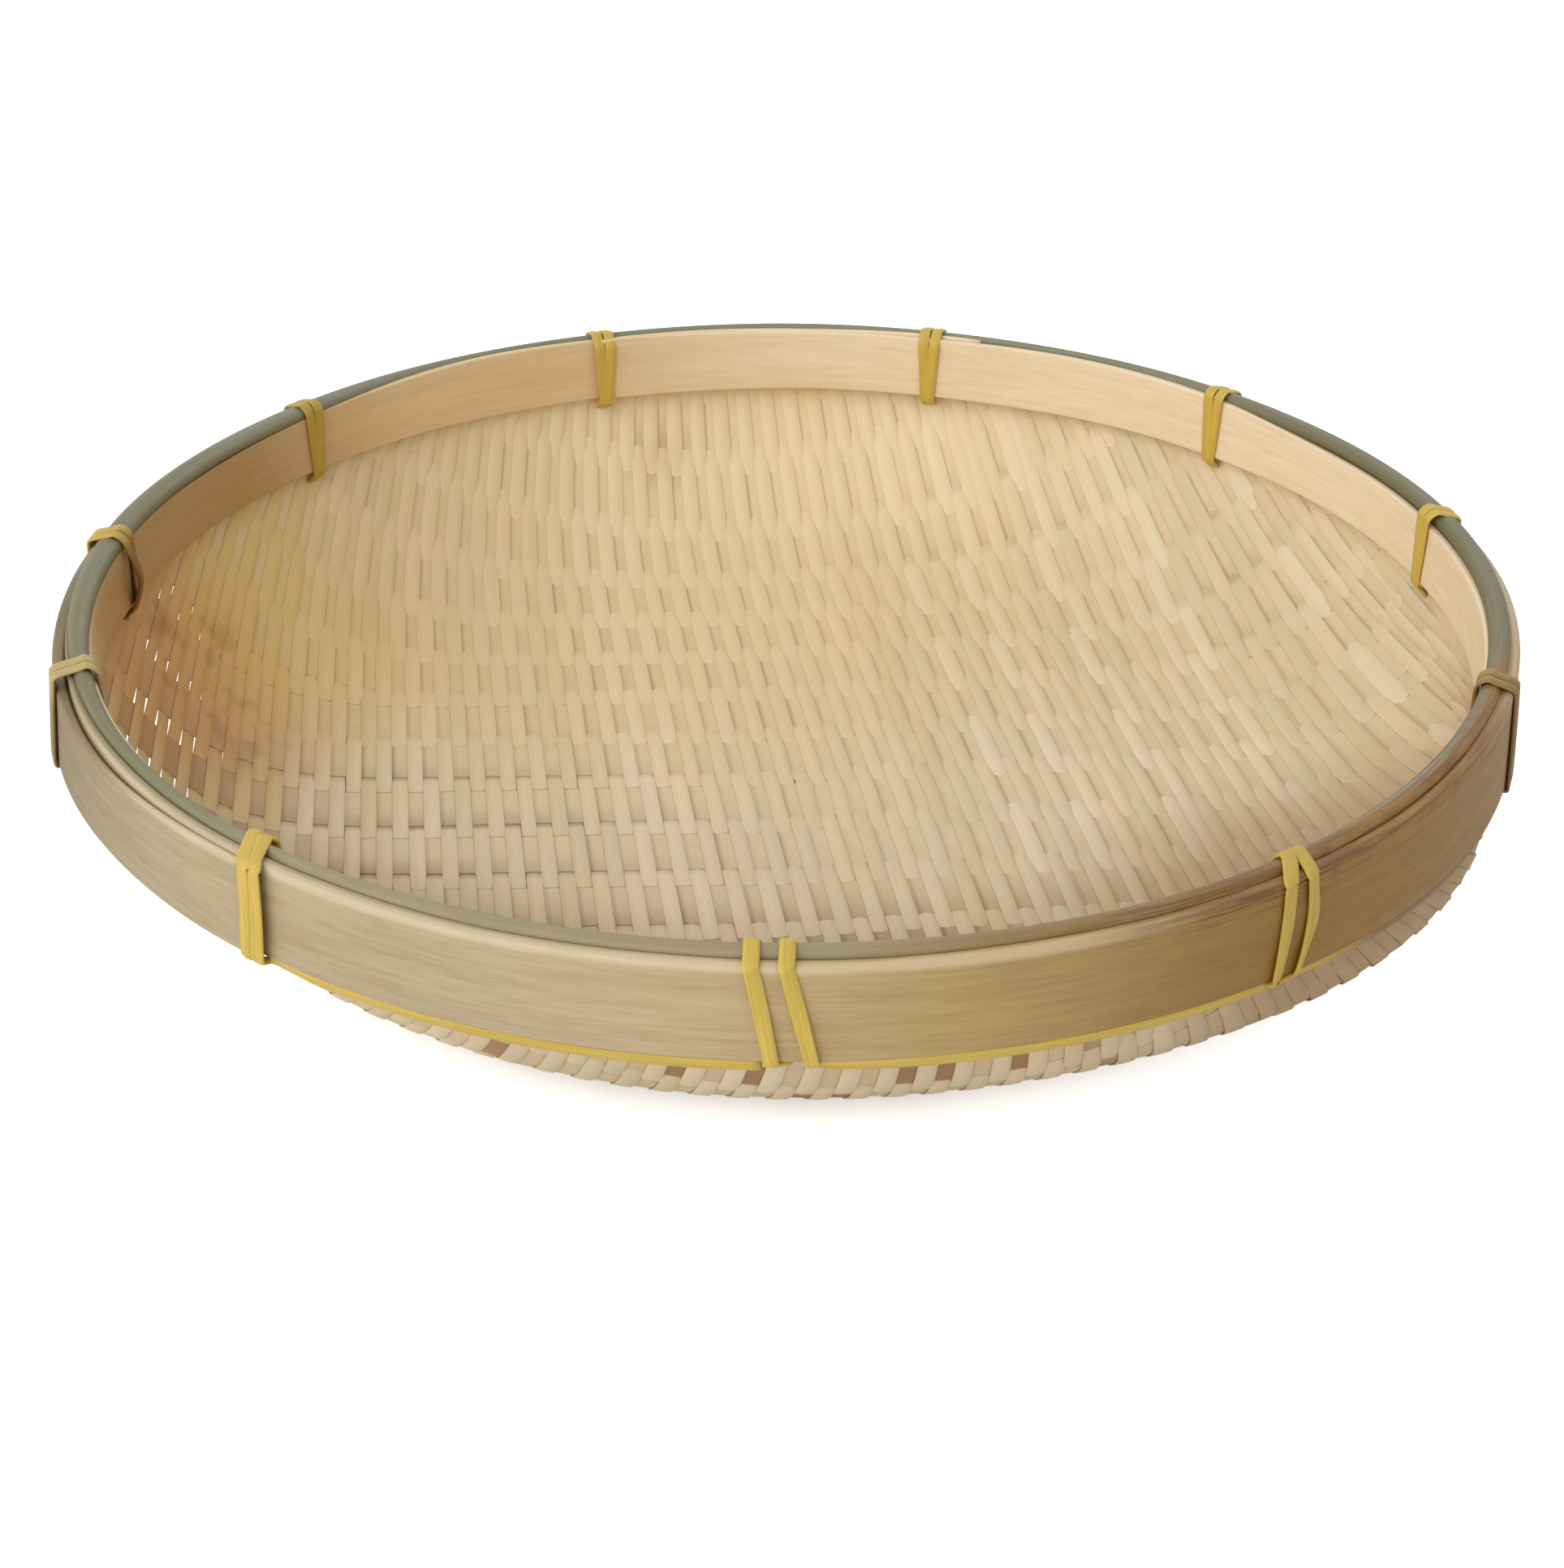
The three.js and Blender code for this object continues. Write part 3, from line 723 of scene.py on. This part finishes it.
def splintFinish(name, shade, zones):
    material, tree, bsdf = newMaterial(name)
    tone = addNode(tree, "ShaderNodeAttribute", attribute_name="tone").outputs["Fac"]
    share = addNode(tree, "ShaderNodeMath", {0: tone}, operation="FRACT").outputs[0]
    aged = combine(tree, "GREATER_THAN", tone, 1.5)
    ramp = addNode(tree, "ShaderNodeValToRGB", {0: share})
    stops = ramp.color_ramp.elements
    stops[0].color, stops[1].color = splint["straw"], splint["pale"]
    stops.new(0.35).color = splint["dull"]
    stops.new(0.65).color = splint["tan"]
    hue = useGroup(tree, fibres, {"Across": 0.12, "Along": 0.09, "Contrast": 2.6})
    turned = mixColour(tree, hue["Streaks"], splint["grey"], splint["pink"])
    base = mixColour(tree, 0.5, ramp.outputs[0], turned)
    streak = useGroup(tree, fibres, {"Across": 2.6, "Along": 0.07, "Contrast": 1.3})
    base = mixColour(tree, product(tree, streak["Streaks"], 0.3), base, splint["fibre"])
    base = mixColour(tree, aged, base, mixColour(tree, 0.55, base, splint["olive"]))
    base = tintZones(tree, base, zones)
    stain = useGroup(tree, stains, {"Size": 4.5, "From": 0.5, "To": 0.68})
    base = tintZones(tree, base, stainZones, stain["Mask"])
    # painted shade in recessed cells of the front's underside, then the painted shadow and painted shade of
    # the weave
    for mark, tint in (("spots", "deep"), ("dusk", "shade")):
        marked = addNode(tree, "ShaderNodeAttribute", attribute_name=mark).outputs["Fac"]
        base = mixColour(tree, marked, base, splint[tint])
    base = mixColour(tree, 1.0, base, shade, "MULTIPLY")
    finishSurface(tree, bsdf, base, streak, 0.46, 0.66, 0.25, 0.05 * mm)
    return material


def finishPiece(piece, slot, *nodes):
    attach(piece, "root")
    if nodes:
        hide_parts(*nodes)
    return piece


warpFinish = splintFinish("warpSplint", (1, 1, 1, 1), warpZones)
weftFinish = splintFinish("weftSplint", (0.97, 0.96, 0.93, 1), weftZones)
for part in range(3):
    finishPiece(makeWarps(f"warps{part + 1}", part, warpFinish), "woven_splint", "woven_mat")
finishPiece(makeWefts("wefts", weftFinish), "woven_splint", "woven_mat")
print("mat woven")


# hoops and cap strip
outerHoop = {
    "node": "outer_hoop",
    "clamp": rim["mat"] + rim["fit"],
    "side": 1,
    "thick": rim["outside"] - rim["mat"] - rim["fit"],
    "top": rim["top"],
    "bottom": rim["bottom"],
    "lap": (190.0, 233.3),
    "dip": 1.1 * mm,
    "rounding": 0.32 * mm,
}
innerHoop = {
    "node": "inner_hoop",
    "clamp": rim["innerFace"],
    "side": -1,
    "thick": 0.8 * mm,
    "top": rim["innerTop"],
    "bottom": rim["innerBottom"],
    "lap": (70.0, 110.4),
    "dip": 0.1 * mm,
    "rounding": 0.2 * mm,
}
capStrip = {"joint": 200.0, "gap": 0.3 * mm, "rise": 0.66 * mm}

# how the rim changes round the basket: at the back the inner hoop stands higher and the cap strip
# lies sunk behind it, and all along the back half the outer hoop's top edge is lower; the outer
# hoop's foot spreads a little at both sides and hangs lower on the right
rimChange = {
    "innerRise": 0.92 * mm,
    "capSunk": 0.84 * mm,
    "outerDrop": 0.5 * mm,
    "footDrop": ((1.0, -20, 30),),  # humps: size in mm, middle and half width in degrees
    "footSpread": ((0.64, -18, 32), (0.8, 198, 30)),
    "capInside": ((0.6, 222, 24), (0.6, 12, 26)),
    "capOutside": ((0.85, 160, 32), (0.95, 14, 30)),
}


def backShare(angles, low, high):
    return smoothstep(np.sin(np.radians(angles)), low, high)


def rimHumps(angles, change):  # sum of size * exp(-((angle - middle) / width)^2)
    return sum(
        size * mm * np.exp(-((((angles - middle + 180) % 360 - 180) / width) ** 2))
        for size, middle, width in rimChange[change]
    )


# one strip that starts thin, runs once round, climbs over its own start and thins out again: the
# radii of its near and far faces and the heights of its edges change with the angle
def hoopPiece(name, hoop, material, slot):
    start, end = hoop["lap"]
    angles = np.arange(start, end + 360 + 0.1, 1.25)
    lapExtra = rim["tip"] + rim["fit"]
    firstShare = np.clip((angles - start) / (end - start), 0, 1)
    overShare = np.clip((angles - 360 - start) / (end - start), 0, 1)
    first = rim["tip"] + (hoop["thick"] - rim["tip"]) * firstShare
    below = rim["tip"] + (hoop["thick"] - rim["tip"]) * overShare
    over = angles >= start + 360
    climb = lapExtra * smoothstep(angles, start + 360 - rim["lapRamp"], start + 360)
    lift = np.where(over, below + rim["fit"], climb)
    thick = np.where(over, hoop["thick"] + rim["tip"] - below, first)
    dipShare = np.where(over, smoothstep(1 - overShare, 0, 0.7), climb / lapExtra)
    near = hoop["clamp"] + hoop["side"] * lift
    far = near + hoop["side"] * thick
    outer = hoop["side"] > 0
    if outer:
        change = -rimChange["outerDrop"] * backShare(angles, -0.05, 0.35)
        hang, spread = rimHumps(angles, "footDrop"), rimHumps(angles, "footSpread")
    else:
        change = rimChange["innerRise"] * backShare(angles, 0.5, 0.88)
        hang, spread = 0, np.zeros(len(angles))
    waves = 0.05 * mm * np.sin(angles / 9) + 0.04 * mm * np.sin(angles / 3.7)
    top = hoop["top"] + change - hoop["dip"] * dipShare + waves
    bottom = hoop["bottom"] + 0.04 * mm * np.sin(angles / 5) - hang
    section = roundedBox(near, far, bottom, top, hoop["rounding"])
    down = 1 - (section[..., 1] - bottom[:, None]) / (top - bottom)[:, None]
    section[..., 0] += spread[:, None] * down
    plain = section[60]  # past the lap, where the hoop has its full thickness
    return finishPiece(oneStrip(name, turnedRings(angles, section), plain, material), slot, hoop["node"])


# the cap strip: half an ellipse over a flat base, carried round between its near and far radii
def capPiece(name, material):
    inside, outside = rim["innerFace"] - innerHoop["thick"], rim["mat"] + rim["fit"]
    gap = math.degrees(capStrip["gap"] / 2 / rim["mat"])
    angles = np.linspace(capStrip["joint"] + gap, capStrip["joint"] + 360 - gap, 361)
    near = inside + rimChange["capSunk"] * backShare(angles, 0.5, 0.88) + rimHumps(angles, "capInside")
    far = outside + rimHumps(angles, "capOutside")
    middle, half = ((near + far) / 2)[:, None], ((far - near) / 2)[:, None]
    turn = np.radians(np.linspace(0, 180, 13))[None]
    waves = 0.03 * mm * np.sin(angles / 7)[:, None]
    high = rim["capTop"] - capStrip["rise"] * (1 - np.sin(turn)) + waves
    crown = np.stack([middle + half * np.cos(turn), high], axis=-1)
    low = np.full(len(angles), rim["capBottom"])
    base = np.stack([np.stack([near, low], axis=-1), np.stack([far, low], axis=-1)], axis=1)
    section = np.concatenate([crown, base], axis=1)
    piece = oneStrip(name, turnedRings(angles, section), section[0], material)
    return finishPiece(piece, "green_skin", "rim_cap_strip")


# looks of hoops and cap strip: zones of colour with their place in mm, inner and outer radius,
# strength and colour, and a ragged stretch with its place and radii
outerLook = {
    "base": colour(204, 188, 154),
    "fibre": colour(228, 220, 206),
    "dull": colour(226, 220, 210),
    "zones": [
        ((-62, -18, 18), 8.0, 40.0, 0.85, colour(118, 101, 58)),
        ((-40, -50, 18), 12.0, 40.0, 0.5, colour(164, 148, 112)),
        # painted shade: olive and brown towards the right front, the side turned from the light
        ((22, -62, 18), 8.0, 44.0, 0.8, colour(186, 154, 90)),
        ((54, -38, 18), 22.0, 54.0, 0.95, colour(150, 109, 30)),
    ],
    "topZones": [
        ((64, 22, 23), 20.0, 40.0, 0.85, colour(122, 118, 88)),
        ((-63, 14, 23), 14.0, 32.0, 0.9, colour(128, 124, 98)),
    ],
    # painted highlight along the outer hoop's top outer edge: its strength, and the pale colour it is drawn
    # towards
    "highlightRidge": 0.75,
    "pale": colour(238, 220, 186),
    "ragged": ((46, -47, 23), 14.0, 32.0),
    "dark": colour(104, 64, 14),
}
innerLook = {
    "base": colour(246, 228, 198),
    "fibre": colour(238, 228, 212),
    "dull": colour(244, 236, 224),
    "zones": [
        # painted shade: warmer and darker towards the left, where the inner face is turned from the light
        ((-40, 50, 18), 12.0, 40.0, 0.6, colour(222, 188, 130)),
        ((-62, 12, 18), 14.0, 42.0, 0.9, colour(176, 136, 76)),
    ],
}
capLook = {
    "base": colour(136, 138, 114),
    "fibre": colour(220, 220, 208),
    "dull": colour(236, 232, 222),
    "zones": [
        ((64, 8, 23), 22.0, 52.0, 0.8, colour(112, 104, 68)),
        ((-12, -62, 23), 20.0, 46.0, 0.75, colour(168, 152, 112)),
        ((30, -57, 23), 10.0, 30.0, 0.85, colour(150, 116, 66)),
        ((0, 64, 23), 20.0, 50.0, 0.35, colour(140, 140, 112)),
        ((-62, -8, 23), 26.0, 52.0, 0.8, colour(122, 116, 82)),
    ],
    "ragged": ((46, -47, 23), 20.0, 36.0),
    "dark": colour(112, 76, 26),
    "outward": [((50, -42, 23), 20.0, 31.0, 1.0, colour(150, 112, 54))],
}


# painted highlight and wear: a painted highlight runs along the outer hoop's top outer edge and ends at the
# front right, where the cap strip's outer half is browned and dark stains and lines lie on what is high up
def wornTopAndHighlight(tree, tint, look):
    place, inner, outer = look["ragged"]
    near = useGroup(tree, zone, {"Place": place, "Inner": inner, "Outer": outer})["Mask"]
    # painted highlight on the outer hoop's top outer edge
    if "highlightRidge" in look:
        highlightRidge = useGroup(tree, edge, {"Low": 22.1, "High": 22.7, "Inside": 64.1, "Outside": 64.6})
        elsewhere = combine(tree, "SUBTRACT", 1.0, near)
        share = product(tree, highlightRidge["Up"], highlightRidge["Out"], look["highlightRidge"], elsewhere)
        tint = mixColour(tree, share, tint, mixColour(tree, 0.5, tint, look["pale"]))
    if "outward" in look:
        outward = useGroup(tree, edge, {"Inside": 62.7, "Outside": 63.2})
        tint = tintZones(tree, tint, look["outward"], outward["Out"])
    top = useGroup(tree, edge, {"Low": 20.6, "High": 22.2})
    spots = useGroup(tree, stains, {"Size": 2.2, "From": 0.48, "To": 0.8})
    lines = useGroup(tree, fibres, {"Across": 0.9, "Along": 0.03, "Contrast": 3.0})
    inputs = {"Value": lines["Streaks"], "From Min": 0.4, "From Max": 0.75}
    sharp = addNode(tree, "ShaderNodeMapRange", inputs).outputs[0]
    worn = combine(tree, "MAXIMUM", sharp, spots["Mask"])
    return mixColour(tree, product(tree, near, top["Up"], worn, 0.8), tint, look["dark"])


# finish of planed bamboo: fine and broad streaks along the strip over colours that change round
# the rim, some of which are painted shade
def hoopFinish(name, look):
    material, tree, bsdf = newMaterial(name)
    streak = useGroup(tree, fibres, {"Across": 1.9, "Along": 0.02, "Contrast": 1.6})
    broad = useGroup(tree, fibres, {"Across": 0.5, "Along": 0.045, "Contrast": 3.0})
    tint = tintZones(tree, look["base"], look["zones"])
    upper = useGroup(tree, edge, {"Low": 21.6, "High": 22.3})
    tint = tintZones(tree, tint, look.get("topZones", []), upper["Up"])
    tint = mixColour(tree, product(tree, streak["Streaks"], 0.5), tint, look["fibre"], "MULTIPLY")
    tint = mixColour(tree, product(tree, broad["Streaks"], 0.6), tint, look["dull"], "MULTIPLY")
    if "ragged" in look:
        tint = wornTopAndHighlight(tree, tint, look)
    finishSurface(tree, bsdf, tint, streak, 0.42, 0.58, 0.2, 0.06 * mm)
    return material


outerFinish = hoopFinish("outerBamboo", outerLook)
innerFinish = hoopFinish("innerBamboo", innerLook)
capFinish = hoopFinish("greenSkin", capLook)
hoopPiece("outerHoop", outerHoop, outerFinish, "outer_bamboo")
hoopPiece("innerHoop", innerHoop, innerFinish, "inner_bamboo")
capPiece("capStrip", capFinish)
print("hoops bent")


# lashings
lashing = {
    "width": 1.22 * mm,
    "thick": 0.36 * mm,
    "fit": 0.03 * mm,
    "count": 11,
    "runTilt": 0.4,
    "runIn": 0.42 * mm,  # the run's middle line from the outer hoop's face and under its edge
    "runDown": 0.5 * mm,
    "runStart": 0.35 * mm,  # from the second wrap's foot
    "runRise": 0.22 * mm,  # how much higher the run starts
    "runShort": 1.7 * mm,  # from its end to the next lashing's middle
}

# sideways places in mm of the two wraps of a lashing, anticlockwise round the rim: at the
# inner hoop's foot, halfway up it, on the cap strip, at the outer hoop's top, middle and foot
tidyWraps = ((-0.2, -0.42, -0.68, -0.66, -0.62, -0.6), (0.2, 0.42, 0.68, 0.66, 0.62, 0.6))
ownWraps = {
    6: ((-0.1, -0.7, -0.75, -0.66, -0.62, -0.6), (0.3, 0.9, 0.7, 0.66, 0.62, 0.6)),
    8: ((-1.2, -1.4, -1.7, 0.0, -0.1, -0.4), (-0.8, -0.5, -0.5, 1.2, 1.1, 0.8)),
    9: ((-1.2, -1.5, -2.3, -2.35, -1.58, -0.88), (0.1, 0.25, 0.2, 0.11, 1.06, 1.98)),
    10: ((0.6, 0.8, 0.8, -0.9, -0.95, -1.5), (1.2, 1.5, 1.9, 1.3, 1.7, 0.6)),
}
slack = {6: 1.1 * mm}  # how far a loose loop's second wrap stands off the inner hoop


def lapProud(lap, angle):  # how far a hoop's free face stands proud at an angle
    before = (lap[0] - angle) % 360
    inside = (angle - lap[0]) % 360
    extra = rim["tip"] + rim["fit"]
    if inside <= lap[1] - lap[0]:
        return extra
    return extra * float(smoothstep(rim["lapRamp"] - before, 0, rim["lapRamp"]))


def lashingAngle(node):  # middle of the wraps, from where the node crosses over the cap strip
    corners = np.array([v.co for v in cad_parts[node].data.vertices])
    high = corners[corners[:, 2] > rim["capTop"]]
    return math.degrees(math.atan2(high[:, 1].mean(), high[:, 0].mean())) % 360


# a smooth line through given points: Catmull-Rom pieces, evenly split
def smoothLine(points, pieces=7):
    ends = np.concatenate([[2 * points[0] - points[1]], points, [2 * points[-1] - points[-2]]])
    t = np.linspace(0, 1, pieces, endpoint=False)[:, None, None]
    a, b, c, d = ends[:-3], ends[1:-2], ends[2:-1], ends[3:]
    curve = 0.5 * (2 * b + (c - a) * t + (2 * a - 5 * b + 4 * c - d) * t**2 + (3 * b - a - 3 * c + d) * t**3)
    return np.concatenate([curve.transpose(1, 0, 2).reshape(-1, points.shape[1]), points[-1:]])


# radius and height of one wrap's middle line, with its place in the rows of sideways places
def wrapStations(angle):
    clear = lashing["thick"] / 2 + lashing["fit"]
    outside = rim["outside"] + lapProud(outerHoop["lap"], angle) + clear
    inside = rim["innerFace"] - innerHoop["thick"] - lapProud(innerHoop["lap"], angle) - clear
    under = rim["bottom"] - rimHumps(angle, "footDrop") - clear
    spread = rimHumps(angle, "footSpread")
    capMiddle = (rim["innerFace"] - innerHoop["thick"] + rim["mat"]) / 2
    capHalf = rim["mat"] - capMiddle
    crown = rim["capTop"] + clear
    return [
        (rim["outside"] + spread - 0.6 * mm, under, -0.4),
        (rim["mat"] - 0.1 * mm, under + 0.05 * mm, -0.2),
        (inside + 0.55 * mm, rim["innerBottom"] - 0.75 * mm, 0.0),
        (inside, rim["innerBottom"] - 0.05 * mm, 0.1),
        (inside, (rim["innerBottom"] + rim["innerTop"]) / 2, 1.0),
        (inside, rim["capBottom"] - 0.1 * mm, 1.7),
        (capMiddle - 0.85 * (capHalf + clear), crown - 0.5 * mm, 1.9),
        (capMiddle - 0.2 * capHalf, crown, 2.0),
        (capMiddle + 0.75 * capHalf, crown - 0.16 * mm, 2.2),
        (outside - 0.75 * mm, rim["top"] + clear + 0.06 * mm, 2.7),
        (outside - 0.14 * mm, rim["top"] - 0.02 * mm, 3.0),
        (outside, rim["top"] - 0.7 * mm, 3.2),
        (outside + 0.5 * spread, (rim["top"] + rim["bottom"]) / 2, 4.0),
        (outside + spread, under + clear + 0.4 * mm, 4.9),
        (outside + spread - 0.35 * mm, under + 0.08 * mm, 5.0),
    ]


# a lashing: a flat oval section carried along its line, twice round hoops, cap strip and mat edge,
# then under the outer hoop to the next lashing; its flat side looks away from the rim's middle
def lashingPiece(number, material):
    node = f"lashing_{number:02d}"
    angle = lashingAngle(node)
    following = lashingAngle(f"lashing_{number % lashing['count'] + 1:02d}")
    sideways = np.array(ownWraps.get(number, tidyWraps)) * mm
    stationRadius, stationHeight, share = np.array(wrapStations(angle)).T
    loose = slack.get(number, 0) * np.maximum(0, 1 - np.abs(share - 1) / 0.95)
    route = []
    for order, row in enumerate(sideways):
        radius = stationRadius - order * loose
        turn = angle + np.degrees(np.interp(share, np.arange(6), row) / radius)
        route.append(ringPoints(turn, radius, stationHeight))
    wraps = smoothLine(np.concatenate(route))

    first = math.degrees((sideways[1][-1] + lashing["runStart"]) / stationRadius[0])
    last = (following - angle) % 360 - math.degrees(lashing["runShort"] / stationRadius[0])
    angles = angle + np.linspace(first, last, 12)
    radius = rim["outside"] - lashing["runIn"] + rimHumps(angles, "footSpread")
    height = rim["bottom"] - lashing["runDown"] - rimHumps(angles, "footDrop")
    height = height + lashing["runRise"] * np.exp(-1.5 * np.arange(len(angles)))
    run = smoothLine(np.concatenate([wraps[-1:], ringPoints(angles, radius, height)]), 5)[1:]

    line = np.concatenate([wraps, run])
    along = unit(np.gradient(line, axis=0))
    flat = np.hypot(line[:, 0], line[:, 1])[:, None]
    outward = line * [1, 1, 0] / flat
    centreRadius, centreHeight = rim["mat"] - 0.3 * mm, (rim["innerTop"] + rim["innerBottom"]) / 2
    away = outward * (flat - centreRadius) + (line - [0, 0, centreHeight]) * [0, 0, 1]
    away[len(wraps) :] = outward[len(wraps) :] - [0, 0, lashing["runTilt"]]
    away = unit(away - along * np.sum(away * along, axis=1, keepdims=True))
    across = np.cross(along, away)
    turn = np.radians(np.arange(0, 360, 30))
    wide, tall = np.cos(turn).round(12), np.sin(turn)
    section = np.stack([np.sign(wide) * np.abs(wide) ** 0.6, tall], axis=1)
    section *= [lashing["width"] / 2, lashing["thick"] / 2]
    rings = line[:, None] + across[:, None] * section[None, :, :1] + away[:, None] * section[None, :, 1:]
    return finishPiece(oneStrip(f"strip{number:02d}", rings, section, material), "yellow_strip", node)


stripLook = {
    "light": colour(220, 194, 92),
    "dark": colour(186, 150, 48),
    "zones": [
        # painted shade: all but the tan zone darken the strands where they lie in shade, on the left inside,
        # at both sides outside and towards the right front
        ((-61.5, 5, 18), 3.5, 7.0, 0.95, colour(118, 74, 28)),
        ((-61.2, -22.3, 17), 5.0, 9.0, 0.85, colour(112, 94, 54)),
        ((-60, -21.5, 24.2), 2.5, 5.5, 0.7, colour(198, 174, 120)),
        ((61.2, -23.4, 17), 5.0, 9.0, 0.85, colour(108, 72, 30)),
        ((54, -36, 14), 12.0, 24.0, 0.95, colour(124, 92, 46)),
        ((-50, 37, 20), 5.0, 22.0, 0.5, colour(160, 126, 46)),
        ((37, -53, 19), 4.0, 14.0, 0.35, colour(170, 134, 44)),
    ],
}


def stripFinish():
    material, tree, bsdf = newMaterial("yellowStrip")
    streak = useGroup(tree, fibres, {"Across": 3.0, "Along": 0.05, "Contrast": 1.5})
    tint = mixColour(tree, streak["Streaks"], stripLook["light"], stripLook["dark"])
    tint = tintZones(tree, tint, stripLook["zones"])
    finishSurface(tree, bsdf, tint, streak, 0.38, 0.55, 0.3, 0.05 * mm)
    return material


yellow = stripFinish()
for number in range(1, lashing["count"] + 1):
    lashingPiece(number, yellow)
print("lashings tied")


# floor and surroundings
def addFloor():
    size = studio["floorSize"] / 2
    mesh = bpy.data.meshes.new("floor")
    corners = [(-size, -size, 0), (size, -size, 0), (size, size, 0), (-size, size, 0)]
    mesh.from_pydata(corners, [], [(0, 1, 2, 3)])
    floor = bpy.data.objects.new("floor", mesh)
    bpy.context.scene.collection.objects.link(floor)
    material, tree, bsdf = newMaterial("floor")
    bsdf.inputs["Base Color"].default_value = studio["floorColour"]
    bsdf.inputs["Roughness"].default_value = 0.9
    bsdf.inputs["Specular IOR Level"].default_value = 0.1
    seen = addNode(tree, "ShaderNodeLightPath").outputs["Is Camera Ray"]
    around = useGroup(tree, edge, {"Inside": 40.0, "Outside": 58.0})["Out"]
    bsdf.inputs["Emission Color"].default_value = (1, 1, 1, 1)
    tree.links.new(product(tree, seen, studio["floorGlow"], around), bsdf.inputs["Emission Strength"])
    mesh.materials.append(material)


def setWorld():
    world = bpy.data.worlds.new("studio")
    bpy.context.scene.world = world
    world.use_nodes = True
    tree = world.node_tree
    background = tree.nodes["Background"]
    paths = addNode(tree, "ShaderNodeLightPath")
    seen = combine(tree, "MAXIMUM", paths.outputs["Is Camera Ray"], paths.outputs["Is Glossy Ray"])
    inputs = {"Value": seen, "To Min": studio["world"], "To Max": 1.0}
    strength = addNode(tree, "ShaderNodeMapRange", inputs).outputs[0]
    tree.links.new(strength, background.inputs["Strength"])
    background.inputs["Color"].default_value = (1, 1, 1, 1)


addFloor()
setWorld()
print("floor and world set")
